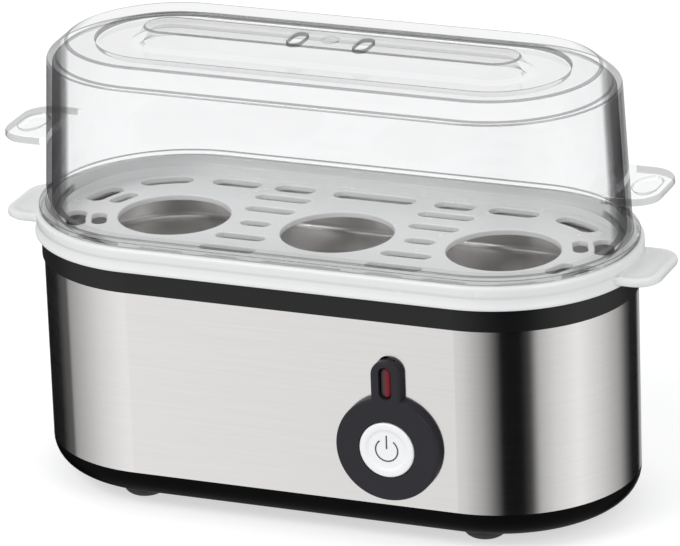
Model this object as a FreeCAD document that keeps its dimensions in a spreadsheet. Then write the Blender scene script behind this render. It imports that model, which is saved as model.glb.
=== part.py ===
import FreeCAD, Part
import math
import os
import Sketcher

# Three-egg electric egg boiler. Millimetres, +X along the row of eggs, -Y the front with the
# push button, +Z up. The origin is on the table, under the middle of the object.
# Every moulding follows one plan: a straight middle with a half-round end on each side.

V = FreeCAD.Vector
UP = V(0, 0, 1)
doc = FreeCAD.newDocument("egg_boiler")

# ---------------------------------------------------------------- driving dimensions

DIMENSIONS = [
    # plan and levels
    ("straight_half", 53.0),
    ("base_bottom", 3.8),
    ("base_top", 12.6),
    ("sleeve_top", 71.8),
    ("collar_top", 79.1),
    ("tray_top", 86.5),
    ("lid_top", 140.6),
    ("ridge_top", 144.0),
    # base housing
    ("base_radius", 41.6),
    ("base_edge", 8.2),
    ("base_floor", 2.6),
    ("lip_radius", 40.7),
    ("lip_inner", 38.5),
    ("lip_top", 19.0),
    ("post_reach", 21.0),
    ("post_width", 9.0),
    ("post_top", 56.0),
    ("screw_well", 7.2),
    ("screw_seat", 51.0),
    ("screw_hole", 4.0),
    ("panel_half", 24.0),
    ("panel_deep", 14.0),
    ("panel_recess", 0.4),
    ("drain_half_width", 1.2),
    ("drain_half_length", 4.0),
    ("drain_deep", 22.0),
    ("drain_reach", 20.0),
    # long screws that hold base and collar together
    ("screw_head", 6.2),
    ("screw_head_height", 2.4),
    ("screw_shank", 2.9),
    ("screw_bite", 8.0),
    ("slot_length", 4.0),
    ("slot_width", 0.9),
    ("slot_depth", 1.2),
    # feet
    ("foot_width", 14.6),
    ("foot_taper", 1.9),
    ("foot_across", 56.0),
    ("foot_deep", 26.5),
    ("foot_recess", 1.0),
    ("foot_gap", 0.2),
    # steel sleeve
    ("sleeve_radius", 41.6),
    ("sleeve_wall", 0.6),
    ("opening_gap", 0.9),
    ("cut_through", 4.0),
    # collar
    ("collar_radius", 42.2),
    ("collar_edge", 0.7),
    ("skirt_bottom", 56.0),
    ("skirt_inner", 38.4),
    ("shelf_radius", 35.2),
    ("shelf_top", 76.0),
    ("shelf_bottom", 72.5),
    ("recess_radius", 39.0),
    ("boss_width", 7.0),
    ("boss_top", 65.5),
    ("pilot_hole", 2.9),
    ("pilot_depth", 8.5),
    ("boss_rib", 3.0),
    ("boss_rib_end", 33.4),
    ("relief_half", 9.0),
    ("relief_height", 9.5),
    # heating pan
    ("pan_flange", 38.6),
    ("pan_flange_top", 78.0),
    ("pan_flange_bottom", 77.0),
    ("pan_radius", 34.4),
    ("pan_wall", 1.2),
    ("pan_floor_top", 69.0),
    ("pan_bottom", 67.8),
    ("pan_edge", 3.0),
    ("stud_width", 3.0),
    ("stud_across", 12.0),
    ("stud_bottom", 62.5),
    ("long_stud_width", 4.0),
    ("long_stud_across", 48.0),
    ("long_stud_bottom", 44.0),
    ("stud_gap", 0.1),
    # heater and what sits under the pan
    ("element_tube", 6.6),
    ("element_half", 44.0),
    ("element_radius", 20.0),
    ("element_gap", 9.0),
    ("element_bend", 8.0),
    ("element_end", 48.0),
    ("pin_width", 2.4),
    ("pin_bottom", 40.0),
    ("thermostat_width", 16.6),
    ("thermostat_bottom", 58.5),
    ("thermostat_flange", 0.8),
    ("flange_half", 16.0),
    ("flange_deep", 5.0),
    ("terminal_across", 5.0),
    ("terminal_thickness", 0.8),
    ("terminal_deep", 3.15),
    ("terminal_length", 7.0),
    ("nut_height", 2.4),
    ("large_nut_height", 3.2),
    ("fuse_width", 4.2),
    ("fuse_length", 11.0),
    ("fuse_across", 30.0),
    ("fuse_lead", 1.0),
    ("fuse_leg", 0.8),
    ("fuse_lead_reach", 3.0),
    ("fuse_lead_deep", 8.0),
    ("fuse_lead_end", 60.0),
    ("clip_half", 4.0),
    ("strip_thickness", 0.5),
    ("tag_reach", 9.5),
    ("tag_half", 1.8),
    ("spacer_radius", 3.4),
    ("shield_top", 49.6),
    ("shield_thickness", 0.6),
    ("shield_half", 44.0),
    ("shield_radius", 27.0),
    ("shield_opening", 11.0),
    ("lead_hole", 3.6),
    ("element_hole", 4.5),
    # control on the front
    ("button_across", 31.8),
    ("button_height", 31.7),
    ("bezel_radius", 16.5),
    ("bezel_front", 44.6),
    ("bezel_edge", 0.8),
    ("neck_half", 4.7),
    ("neck_top", 60.1),
    ("well_radius", 9.0),
    ("spigot_radius", 11.4),
    ("spigot_back", 37.0),
    ("cap_radius", 8.75),
    ("cap_front", 45.1),
    ("cap_back", 40.1),
    ("cap_face", 2.0),
    ("cap_wall", 1.2),
    ("cap_edge", 0.7),
    ("stem_width", 4.0),
    ("stem_back", 29.0),
    ("spring_wire", 0.7),
    ("spring_coil", 7.8),
    ("window_half_width", 2.1),
    ("window_height", 53.0),
    ("window_half_length", 5.2),
    ("lens_half_width", 1.8),
    ("lens_half_length", 4.9),
    ("lens_front", 43.9),
    ("lens_back", 41.8),
    ("lamp_radius", 2.3),
    ("lamp_half", 6.0),
    ("lamp_deep", 36.4),
    ("lamp_lead", 0.8),
    ("lamp_lead_across", 1.1),
    ("lamp_lead_length", 2.5),
    ("bezel_screw_across", 14.0),
    ("bezel_screw_shank", 2.2),
    ("bezel_screw_head", 4.4),
    ("bezel_screw_top", 1.6),
    ("bezel_screw_bite", 2.1),
    ("bezel_screw_gap", 0.2),
    ("bracket_front", 41.0),
    ("bracket_plate", 2.0),
    ("bracket_half", 17.0),
    ("bracket_low", 12.4),
    ("bracket_high", 15.0),
    ("bracket_neck", 6.0),
    ("bracket_neck_top", 8.0),
    ("spigot_gap", 0.15),
    ("cradle_back", 24.0),
    ("cradle_half", 10.6),
    ("cradle_wall", 1.5),
    ("cradle_floor", 2.0),
    ("fork_back", 34.0),
    ("fork_half", 4.0),
    ("fork_wall", 1.5),
    ("switch_half", 6.5),
    ("switch_front", 32.0),
    ("switch_back", 17.5),
    ("switch_body", 6.4),
    ("switch_flange", 1.5),
    ("switch_flange_half", 8.0),
    ("switch_socket", 8.0),
    ("socket_half", 2.3),
    ("switch_tab_across", 3.8),
    ("switch_tab_half", 0.4),
    ("switch_tab_deep", 2.4),
    ("switch_tab_length", 6.0),
    # egg tray
    ("tray_radius", 44.0),
    ("tray_inner", 37.5),
    ("tray_edge", 1.2),
    ("plate_top", 82.0),
    ("plate_thickness", 2.0),
    ("groove_level", 82.5),
    ("groove_width", 0.8),
    ("groove_depth", 0.8),
    ("spigot_drop", 0.7),
    ("seat_pitch", 54.0),
    ("seat_radius", 17.5),
    ("ladder_across", 27.0),
    ("slot_half", 2.3),
    ("ring_radius", 31.4),
    ("ring_half", 2.7),
    ("tab_tip", 106.8),
    ("tab_half", 14.3),
    ("tab_corner", 7.5),
    ("tab_top", 82.6),
    ("tab_bottom", 79.9),
    ("tab_border", 2.2),
    ("tab_dish", 1.0),
    # lid
    ("lid_foot", 40.3),
    ("lid_head", 37.5),
    ("lid_wall", 1.8),
    ("lid_flange", 42.5),
    ("flange_top", 88.3),
    ("lid_lip", 37.1),
    ("lid_lip_bottom", 85.0),
    ("shoulder", 5.8),
    ("recess_loop", 22.6),
    ("recess_depth", 2.0),
    ("ridge_foot", 10.6),
    ("ridge_head", 7.4),
    ("ridge_edge", 0.6),
    ("channel_radius", 6.2),
    ("vent_across", 10.7),
    ("vent_half_width", 2.3),
    ("vent_half_length", 5.4),
    ("grip_tip", 106.6),
    ("grip_top", 108.3),
    ("grip_thickness", 2.7),
    ("grip_half", 14.6),
    ("grip_corner", 6.5),
    ("dish_across", 100.2),
    ("dish_half_width", 4.6),
    ("dish_half_length", 8.0),
    ("dish_depth", 1.5),
    # mains entry at the back
    ("gland_height", 29.4),
    ("gland_bore", 3.2),
    ("gland_radius", 4.9),
    ("gland_flange", 7.0),
    ("gland_rim", 2.0),
    ("gland_flare", 0.7),
    ("gland_narrow", 0.3),
    ("gland_tip", 45.1),
    ("gland_back", 34.0),
    ("gland_nut_height", 4.5),
    ("clamp_across", 9.0),
    ("clamp_deep", 27.0),
    ("clamp_level", 27.0),
    ("clamp_half", 13.0),
    ("clamp_half_depth", 3.5),
    ("clamp_height", 6.5),
    ("clamp_screw_head", 5.8),
    ("clamp_screw_top", 2.2),
    ("rib_half", 6.0),
    ("rib_half_depth", 1.5),
    ("rib_drop", 3.0),
    # terminal block on the floor
    ("block_across", -36.0),
    ("block_half", 14.0),
    ("block_deep", 8.0),
    ("block_bottom", 11.0),
    ("block_top", 24.0),
    ("block_pitch", 5.0),
    ("block_screw", 11.0),
    ("block_screw_head", 5.4),
    ("block_screw_shank", 2.4),
    ("block_screw_bite", 4.0),
    ("block_well", 3.0),
    ("grub_across", 6.0),
    ("grub_width", 3.0),
    ("grub_length", 4.0),
    ("bore_level", 17.0),
    ("bore_width", 3.0),
    ("wire_width", 2.4),
]

sheet = doc.addObject("Spreadsheet::Sheet", "Sizes")
for row, (alias, dimension) in enumerate(DIMENSIONS, start=1):
    sheet.set(f"A{row}", alias)
    sheet.set(f"B{row}", str(dimension))
    sheet.setAlias(f"B{row}", alias)
doc.recompute()
ALIASES = {alias for alias, _ in DIMENSIONS}


def number(text):
    """Value of a sum such as 'sleeve_radius - sleeve_wall/2', read from the sheet."""
    total, sign = 0.0, 1.0
    for word in str(text).split():
        if word in ("+", "-"):
            sign = -1.0 if word == "-" else 1.0
            continue
        name, _, divisor = word.partition("/")
        size = float(getattr(sheet, name)) if name in ALIASES else float(name)
        total += sign * size / float(divisor or 1)
        sign = 1.0
    return total


def bound(text):
    """The same sum as an expression on the sheet's cells."""
    words = str(text).split()
    return " ".join(f"Sizes.{w}" if w.partition("/")[0] in ALIASES else w for w in words)


# ---------------------------------------------------------------- sketch and feature helpers

def new_body(label):
    body = doc.addObject("PartDesign::Body", label)
    body.Label = label
    return body


def new_sketch(body, role, level):
    """Sketch on one of the body's own origin planes, moved along the plane's normal."""
    sketch = body.newObject("Sketcher::SketchObject", "Sketch")
    plane = next(f for f in body.Origin.OriginFeatures if f.Role == role)
    sketch.AttachmentSupport = [(plane, "")]
    sketch.MapMode = "FlatFace"
    sketch.setExpression("AttachmentOffset.Base.z", bound(level))
    return sketch


def fix(sketch, kind, places, text):
    """One dimension of a sketch, bound to the sheet."""
    index = sketch.addConstraint(Sketcher.Constraint(kind, *places, number(text)))
    sketch.setExpression(f"Constraints[{index}]", bound(text))


def join(sketch, pairs, kind="Coincident"):
    for first, second in pairs:
        sketch.addConstraint(Sketcher.Constraint(kind, first, 2, second, 1))


def arc(x, y, radius, start, stop):
    return Part.ArcOfCircle(Part.Circle(V(x, y, 0), UP, radius), start, stop)


def stadium_loop(sketch, radius, half):
    """Adds two straight sides and two half-round ends; gives back the two ends."""
    run, rad = number(half), number(radius)
    quarter = math.pi / 2
    right = sketch.addGeometry(arc(run, 0, rad, -quarter, quarter))
    back = sketch.addGeometry(Part.LineSegment(V(run, rad, 0), V(-run, rad, 0)))
    left = sketch.addGeometry(arc(-run, 0, rad, quarter, 3 * quarter))
    front = sketch.addGeometry(Part.LineSegment(V(-run, -rad, 0), V(run, -rad, 0)))
    join(sketch, [(right, back), (back, left), (left, front), (front, right)], "Tangent")
    fix(sketch, "Radius", (right,), radius)
    return right, left


def stadium(body, level, radius, half="straight_half"):
    """The common plan, seen from above, around the origin."""
    sketch = new_sketch(body, "XY_Plane", level)
    right, left = stadium_loop(sketch, radius, half)
    sketch.addConstraint(Sketcher.Constraint("PointOnObject", right, 3, -1))
    sketch.addConstraint(Sketcher.Constraint("Symmetric", right, 3, left, 3, -1, 1))
    fix(sketch, "DistanceX", (-1, 1, right, 3), half)
    return sketch


def stadium_band(body, level, radius, other_radius):
    """Ring between two loops of the common plan that share their centres."""
    sketch = stadium(body, level, radius)
    right, left = stadium_loop(sketch, other_radius, "straight_half")
    first_right, first_left = 0, 2
    sketch.addConstraint(Sketcher.Constraint("Coincident", right, 3, first_right, 3))
    sketch.addConstraint(Sketcher.Constraint("Coincident", left, 3, first_left, 3))
    return sketch


def circle(body, level, across, along, radius, role="XY_Plane"):
    sketch = new_sketch(body, role, level)
    loop = sketch.addGeometry(Part.Circle(V(number(across), number(along), 0), UP, number(radius)))
    fix(sketch, "Radius", (loop,), radius)
    fix(sketch, "DistanceX", (-1, 1, loop, 3), across)
    fix(sketch, "DistanceY", (-1, 1, loop, 3), along)
    return sketch


def closed_lines(sketch, places):
    """Straight lines from place to place, and back to the first."""
    ends = zip(places, places[1:] + places[:1])
    sides = [sketch.addGeometry(Part.LineSegment(start, stop)) for start, stop in ends]
    join(sketch, list(zip(sides, sides[1:] + sides[:1])))
    return sides


def rectangle(body, level, left, right, low, high, role="XY_Plane"):
    sketch = new_sketch(body, role, level)
    a, b, c, d = number(left), number(right), number(low), number(high)
    sides = closed_lines(sketch, [V(a, c, 0), V(b, c, 0), V(b, d, 0), V(a, d, 0)])
    for side, kind in zip(sides, ("Horizontal", "Vertical", "Horizontal", "Vertical")):
        sketch.addConstraint(Sketcher.Constraint(kind, side))
    fix(sketch, "DistanceX", (-1, 1, sides[0], 1), left)
    fix(sketch, "DistanceX", (-1, 1, sides[0], 2), right)
    fix(sketch, "DistanceY", (-1, 1, sides[0], 1), low)
    fix(sketch, "DistanceY", (-1, 1, sides[2], 1), high)
    return sketch


def polygon(body, level, points, role="XY_Plane"):
    """Closed outline of straight lines; each point is a pair of sums."""
    sketch = new_sketch(body, role, level)
    sides = closed_lines(sketch, [V(number(u), number(v), 0) for u, v in points])
    for side, (u, v) in zip(sides, points):
        fix(sketch, "DistanceX", (-1, 1, side, 1), u)
        fix(sketch, "DistanceY", (-1, 1, side, 1), v)
    return sketch


def arch(body, level, middle, low, half_width, top, role="XZ_Plane"):
    """Upright strip with a half-round top."""
    sketch = new_sketch(body, role, level)
    x, half = number(middle), number(half_width)
    z0, z1 = number(low), number(top) - number(half_width)
    floor = sketch.addGeometry(Part.LineSegment(V(x - half, z0, 0), V(x + half, z0, 0)))
    right = sketch.addGeometry(Part.LineSegment(V(x + half, z0, 0), V(x + half, z1, 0)))
    crown = sketch.addGeometry(arc(x, z1, half, 0, math.pi))
    left = sketch.addGeometry(Part.LineSegment(V(x - half, z1, 0), V(x - half, z0, 0)))
    join(sketch, [(left, floor), (floor, right)])
    join(sketch, [(right, crown), (crown, left)], "Tangent")
    sketch.addConstraint(Sketcher.Constraint("Horizontal", floor))
    sketch.addConstraint(Sketcher.Constraint("Vertical", right))
    fix(sketch, "Radius", (crown,), half_width)
    fix(sketch, "DistanceX", (-1, 1, crown, 3), middle)
    fix(sketch, "DistanceY", (-1, 1, floor, 1), low)
    fix(sketch, "DistanceY", (-1, 1, crown, 3), f"{top} - {half_width}")
    return sketch


def oblong(body, level, across, along, half_width, half_length, role="XY_Plane"):
    """Slot with half-round ends, long in the sketch's second direction."""
    sketch = new_sketch(body, role, level)
    x, y, half = number(across), number(along), number(half_width)
    run = number(half_length) - half
    low = sketch.addGeometry(arc(x, y - run, half, math.pi, 2 * math.pi))
    right = sketch.addGeometry(Part.LineSegment(V(x + half, y - run, 0), V(x + half, y + run, 0)))
    high = sketch.addGeometry(arc(x, y + run, half, 0, math.pi))
    left = sketch.addGeometry(Part.LineSegment(V(x - half, y + run, 0), V(x - half, y - run, 0)))
    join(sketch, [(low, right), (right, high), (high, left), (left, low)], "Tangent")
    sketch.addConstraint(Sketcher.Constraint("Vertical", right))
    fix(sketch, "Radius", (low,), half_width)
    fix(sketch, "DistanceX", (-1, 1, low, 3), across)
    fix(sketch, "DistanceY", (-1, 1, low, 3), f"{along} - {half_length} + {half_width}")
    fix(sketch, "DistanceY", (-1, 1, high, 3), f"{along} + {half_length} - {half_width}")
    return sketch


def end_tab(body, level, side, root_radius, half_width, tip, corner):
    """Grip outline at one end: an arc along the wall, two sides, two round corners and the tip."""
    sketch = new_sketch(body, "XY_Plane", level)
    run, root, half = number("straight_half"), number(root_radius), number(half_width)
    end, rad = number(tip), number(corner)
    turn = math.asin(half / root)
    foot = run + math.sqrt(root ** 2 - half ** 2)
    quarter = math.pi / 2
    flip = 1 if side > 0 else -1

    def at(x, y):
        return V(flip * x, flip * y, 0)

    def bend(x, y, radius, start, stop):
        shift = 0 if side > 0 else math.pi
        return arc(flip * x, flip * y, radius, start + shift, stop + shift)

    outline = [
        Part.LineSegment(at(foot, -half), at(end - rad, -half)),
        bend(end - rad, rad - half, rad, -quarter, 0),
        Part.LineSegment(at(end, rad - half), at(end, half - rad)),
        bend(end - rad, half - rad, rad, 0, quarter),
        Part.LineSegment(at(end - rad, half), at(foot, half)),
    ]
    low, first, tip_line, second, high = [sketch.addGeometry(piece) for piece in outline]
    wall = sketch.addGeometry(bend(run, 0, root, -turn, turn))
    join(sketch, [(low, first), (first, tip_line), (tip_line, second), (second, high)], "Tangent")
    sketch.addConstraint(Sketcher.Constraint("Coincident", high, 2, wall, 2))
    sketch.addConstraint(Sketcher.Constraint("Coincident", wall, 1, low, 1))
    sketch.addConstraint(Sketcher.Constraint("Horizontal", low))
    sketch.addConstraint(Sketcher.Constraint("PointOnObject", wall, 3, -1))
    sketch.addConstraint(Sketcher.Constraint("Symmetric", first, 3, second, 3, -1))
    sketch.addConstraint(Sketcher.Constraint("Equal", first, second))
    fix(sketch, "Radius", (wall,), root_radius)
    fix(sketch, "Radius", (first,), corner)
    for (geometry, point), text in (((wall, 3), "straight_half"), ((tip_line, 1), tip)):
        ends = (-1, 1, geometry, point) if side > 0 else (geometry, point, -1, 1)
        fix(sketch, "DistanceX", ends, text)
    fix(sketch, "DistanceY", (-1, 1, high if side > 0 else low, 1), half_width)
    return sketch


def settle(feature):
    """Recompute, and stop where the new feature failed."""
    doc.recompute()
    if "Invalid" in feature.State or "Error" in feature.State:
        owner = feature.getParentGeoFeatureGroup().Label
        raise RuntimeError(f"{owner} {feature.Name}: {feature.getStatusString()}")
    return feature


def pad(body, sketch, length, backward=False):
    feature = body.newObject("PartDesign::Pad", "Pad")
    feature.Profile = sketch
    feature.Reversed = backward
    feature.setExpression("Length", bound(length))
    return settle(feature)


def pocket(body, sketch, depth, forward=False):
    """Cut against the sketch's normal, or along it with forward; it has to take something away."""
    before = body.Shape.Volume
    feature = body.newObject("PartDesign::Pocket", "Pocket")
    feature.Profile = sketch
    feature.Reversed = forward
    feature.setExpression("Length", bound(depth))
    settle(feature)
    if body.Shape.Volume > before - 0.001:
        raise RuntimeError(f"{body.Label}: a pocket cuts nothing")
    return feature


def edge_names(shape, wanted):
    return [f"Edge{i}" for i, edge in enumerate(shape.Edges, start=1) if wanted(edge)]


def level_edge(level, least=0.0, most=1000.0):
    """Test for edges that lie flat at one height, between two distances from the middle line."""
    height, run = number(level), number("straight_half")

    def test(edge):
        box = edge.BoundBox
        if abs(box.ZMin - height) > 0.01 or abs(box.ZMax - height) > 0.01:
            return False
        point = edge.valueAt((edge.FirstParameter + edge.LastParameter) / 2)
        away = math.hypot(max(abs(point.x) - run, 0), point.y)
        return least < away < most
    return test


def soften(body, wanted, kind, measure, size):
    names = edge_names(body.Tip.Shape, wanted)
    feature = body.newObject(f"PartDesign::{kind}", kind)
    feature.Base = (feature.BaseFeature or body.Tip, names)
    feature.setExpression(measure, bound(size))
    return settle(feature)


def fillet(body, wanted, radius):
    return soften(body, wanted, "Fillet", "Radius", radius)


def chamfer(body, wanted, size):
    return soften(body, wanted, "Chamfer", "Size", size)


UPRIGHT = FreeCAD.Rotation()
BACKWARD = FreeCAD.Rotation(V(1, 0, 0), -90)


def put(item, place, turn=UPRIGHT):
    item.Placement.Rotation = turn
    for letter, text in zip("xyz", place):
        item.setExpression(f"Placement.Base.{letter}", bound(text))
    return item


def cylinder(name, radius, height, place, turn=UPRIGHT):
    """Cylinder whose foot centre is at place; it stands up, or points backward."""
    item = doc.addObject("Part::Cylinder", name)
    item.setExpression("Radius", bound(radius))
    item.setExpression("Height", bound(height))
    return put(item, place, turn)


def block(name, size, place):
    item = doc.addObject("Part::Box", name)
    for side, text in zip(("Length", "Width", "Height"), size):
        item.setExpression(side, bound(text))
    return put(item, place)


def hexagon(name, across_flats, height, place, turn=UPRIGHT):
    item = doc.addObject("Part::Prism", name)
    item.Polygon = 6
    item.Circumradius = number(across_flats) / math.sqrt(3)
    item.setExpression("Height", bound(height))
    return put(item, place, turn)


def fuse(label, items):
    joined = doc.addObject("Part::MultiFuse", label)
    joined.Shapes = items
    joined.Label = label
    return joined


def cut(label, solid, tool):
    result = doc.addObject("Part::Cut", label)
    result.Base = solid
    result.Tool = tool
    result.Label = label
    return result


def group(label, items):
    """Identical pieces that stay separate solids in one node."""
    result = doc.addObject("Part::Compound", label)
    result.Links = items
    result.Label = label
    return result


SIGNS = (1, -1)
CORNERS = [(sx, sy) for sx in SIGNS for sy in SIGNS]
NODES = []


def keep(item):
    """Note a finished sub-part, to be checked and written at the end."""
    NODES.append(item)
    return item


def signed(text, sign):
    """The sum with its sign turned where sign is negative; text is a single term."""
    return text if sign > 0 else f"0 - {text}"


def around(middle, offset):
    """The two sums on either side of middle."""
    return f"{middle} - {offset}", f"{middle} + {offset}"


def post_places():
    """Across and along of the four screw posts, on the diagonals of the round ends."""
    return [(f"{signed('straight_half', sx)} + {signed('post_reach', sx)}", signed("post_reach", sy))
            for sx, sy in CORNERS]


def flat_front(level):
    """Test for edges that lie flat at one distance in front of the middle."""
    front = -number(level)

    def test(edge):
        return abs(edge.BoundBox.YMin - front) < 0.01 and abs(edge.BoundBox.YMax - front) < 0.01
    return test


# ---------------------------------------------------------------- base housing and feet

def make_base():
    body = new_body("base_housing")
    pad(body, stadium(body, "base_bottom", "base_radius"), "base_top - base_bottom")
    fillet(body, level_edge("base_bottom"), "base_edge")
    pad(body, stadium(body, "base_top", "lip_radius"), "lip_top - base_top")
    pocket(body, stadium(body, "lip_top", "lip_inner"), "lip_top - base_bottom - base_floor")
    inside = "base_bottom + base_floor/2"
    for across, along in post_places():
        pad(body, circle(body, inside, across, along, "post_width/2"),
            "post_top - base_bottom - base_floor/2")
        pocket(body, circle(body, "base_bottom", across, along, "screw_well/2"),
               "screw_seat - base_bottom", forward=True)
        pocket(body, circle(body, "post_top", across, along, "screw_hole/2"), "post_top - screw_seat")
    for sx, sy in CORNERS:
        pocket(body, circle(body, "base_bottom", signed("foot_across", sx), signed("foot_deep", sy),
                            "foot_width/2 + foot_gap"), "foot_recess", forward=True)
    # two bosses and a rib for the cord clamp, two short bosses for the terminal block
    for sign in SIGNS:
        across = signed("clamp_across", sign)
        pad(body, circle(body, inside, across, "clamp_deep", "boss_width/2"),
            "clamp_level - base_bottom - base_floor/2")
        pocket(body, circle(body, "clamp_level", across, "clamp_deep", "pilot_hole/2"), "10")
    pad(body, rectangle(body, inside, "0 - rib_half", "rib_half", *around("clamp_deep", "rib_half_depth")),
        "clamp_level - rib_drop - base_bottom - base_floor/2")
    for across in around("block_across", "block_screw"):
        pad(body, circle(body, inside, across, "0", "boss_width/2"),
            "block_bottom - base_bottom - base_floor/2")
        pocket(body, circle(body, "block_bottom", across, "0", "block_screw_shank/2"),
               "block_screw_bite + 0.2")
    # shallow plain panel under the floor, and drain slots beside it
    pocket(body, rectangle(body, "base_bottom", "0 - panel_half", "panel_half", "0 - panel_deep",
                           "panel_deep"), "panel_recess", forward=True)
    for sx, sy in CORNERS:
        for divisor in (1, 2):
            across = signed(f"drain_reach/{divisor}", sx)
            pocket(body, oblong(body, "base_bottom", across, signed("drain_deep", sy), "drain_half_width",
                                "drain_half_length"), "base_floor", forward=True)
    return keep(body)


def make_feet():
    """Four pads, a little narrower on the table, each let into the base's floor."""
    feet = []
    for index, (sx, sy) in enumerate(CORNERS):
        foot = doc.addObject("Part::Cone", f"foot_{index}")
        foot.setExpression("Radius1", bound("foot_width/2 - foot_taper"))
        foot.setExpression("Radius2", bound("foot_width/2"))
        foot.setExpression("Height", bound("base_bottom + foot_recess"))
        feet.append(put(foot, (signed("foot_across", sx), signed("foot_deep", sy), "0")))
    return keep(group("rubber_feet", feet))


# ---------------------------------------------------------------- steel sleeve and collar

def make_sleeve():
    body = new_body("steel_sleeve")
    pad(body, stadium(body, "base_top", "sleeve_radius"), "sleeve_top - base_top")
    pocket(body, stadium(body, "sleeve_top", "sleeve_radius - sleeve_wall"), "sleeve_top - base_top")
    # openings in the front for the control, in the back for the gland
    ahead = "sleeve_radius + 1"
    pocket(body, circle(body, ahead, "button_across", "button_height", "spigot_radius + foot_gap",
                        "XZ_Plane"), "cut_through")
    pocket(body, oblong(body, ahead, "button_across", "window_height", "window_half_width + opening_gap",
                        "window_half_length + opening_gap", "XZ_Plane"), "cut_through")
    for across in BEZEL_SCREWS:
        pocket(body, circle(body, ahead, across, "button_height", "bezel_screw_shank/2 + bezel_screw_gap",
                            "XZ_Plane"), "cut_through")
    pocket(body, circle(body, "0 - sleeve_radius - 1", "0", "gland_height", "gland_radius + stud_gap",
                        "XZ_Plane"), "cut_through", forward=True)
    return keep(body)


def make_collar():
    body = new_body("upper_collar")
    pad(body, stadium(body, "sleeve_top", "collar_radius"), "collar_top - sleeve_top")
    fillet(body, level_edge("collar_top"), "collar_edge")
    pad(body, stadium(body, "skirt_bottom", "lip_radius"), "sleeve_top - skirt_bottom + 0.5")
    pocket(body, stadium(body, "collar_top", "recess_radius"), "collar_top - shelf_top")
    pocket(body, stadium(body, "shelf_top", "shelf_radius"), "shelf_top - shelf_bottom")
    pocket(body, stadium(body, "skirt_bottom", "skirt_inner"), "shelf_bottom - skirt_bottom", forward=True)
    for across, along in post_places():
        pad(body, circle(body, "post_top", across, along, "boss_width/2"), "boss_top - post_top")
        low, high = sorted((along, signed("boss_rib_end", number(along))), key=number)
        rib = rectangle(body, "post_top", *around(across, "boss_rib/2"), low, high)
        pad(body, rib, "boss_top - post_top")
        pocket(body, circle(body, "post_top", across, along, "pilot_hole/2"), "pilot_depth", forward=True)
    # room in the skirt for the switch bracket
    pocket(body, rectangle(body, "skirt_bottom", *around("button_across", "relief_half"),
                           "0 - collar_radius", "cradle_floor - skirt_inner"), "relief_height", forward=True)
    return keep(body)


def make_body_screws():
    screws = []
    low = "screw_seat - screw_head_height"
    for index, (across, along) in enumerate(post_places()):
        head = cylinder(f"screw_head_{index}", "screw_head/2", "screw_head_height", (across, along, low))
        shank = cylinder(f"screw_shank_{index}", "screw_shank/2", "post_top - screw_seat + screw_bite",
                         (across, along, "screw_seat"))
        slot = block(f"screw_slot_{index}", ("slot_length", "slot_width", "slot_depth"),
                     (f"{across} - slot_length/2", f"{along} - slot_width/2", low))
        screws.append(cut(f"body_screw_{index}", fuse(f"screw_blank_{index}", [head, shank]), slot))
    return keep(group("body_screws", screws))


# ---------------------------------------------------------------- pan and what hangs below it

def make_pan():
    body = new_body("heating_pan")
    pad(body, stadium(body, "pan_bottom", "pan_radius"), "pan_flange_bottom - pan_bottom")
    fillet(body, level_edge("pan_bottom"), "pan_edge")
    pad(body, stadium(body, "pan_flange_bottom", "pan_flange"), "pan_flange_top - pan_flange_bottom")
    pocket(body, stadium(body, "pan_flange_top", "pan_radius - pan_wall"), "pan_flange_top - pan_floor_top")
    fillet(body, level_edge("pan_floor_top"), "pan_edge - pan_wall")
    for sign in (1, -1):
        pad(body, circle(body, "pan_bottom", signed("stud_across", sign), "0", "stud_width/2"),
            "pan_bottom - stud_bottom", backward=True)
        pad(body, circle(body, "pan_bottom", signed("long_stud_across", sign), "0", "long_stud_width/2"),
            "pan_bottom - long_stud_bottom", backward=True)
    return keep(body)


def make_seal():
    body = new_body("pan_seal")
    pad(body, stadium(body, "shelf_top", "pan_flange"), "pan_flange_bottom - shelf_top")
    pocket(body, stadium(body, "pan_flange_bottom", "shelf_radius + 0.4"), "pan_flange_bottom - shelf_top")
    return keep(body)


def tube(points, radius, bends):
    """Round tube along straight runs joined by tangent arcs; bends holds one radius per corner."""
    edges, start = [], points[0]
    for before, corner, after, bend in zip(points, points[1:], points[2:], bends):
        inward, outward = (corner - before).normalize(), (after - corner).normalize()
        half_turn = inward.getAngle(outward) / 2
        reach = bend * math.tan(half_turn)
        enter, leave = corner - inward * reach, corner + outward * reach
        towards = (outward - inward).normalize()
        middle = corner + towards * (bend / math.cos(half_turn) - bend)
        edges += [Part.LineSegment(start, enter).toShape(), Part.Arc(enter, middle, leave).toShape()]
        start = leave
    edges.append(Part.LineSegment(start, points[-1]).toShape())
    path = Part.Wire(edges)
    section = Part.Wire(Part.makeCircle(radius, points[0], points[1] - points[0]))
    solid = path.makePipeShell([section], True, False)
    expected = math.pi * radius ** 2 * path.Length
    if abs(solid.Volume - expected) > 0.02 * expected:
        raise RuntimeError("a tube came out with the wrong volume")
    return solid


def make_element():
    """C-shaped sheathed heater against the pan's underside; both ends turn down at the back."""
    radius = number("element_tube/2")
    level = number("pan_bottom") - radius
    run, rad, gap = number("element_half"), number("element_radius"), number("element_gap")
    bend, low = number("element_bend"), number("element_end")
    far = run + rad
    points = [V(gap, rad, low), V(gap, rad, level), V(far, rad, level), V(far, -rad, level),
              V(-far, -rad, level), V(-far, rad, level), V(-gap, rad, level), V(-gap, rad, low)]
    round_end = rad * 0.98
    shape = tube(points, radius, [bend, round_end, round_end, round_end, round_end, bend])
    item = doc.addObject("Part::Feature", "heating_element")
    item.Shape = shape
    item.Label = "heating_element"
    return keep(item)


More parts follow.
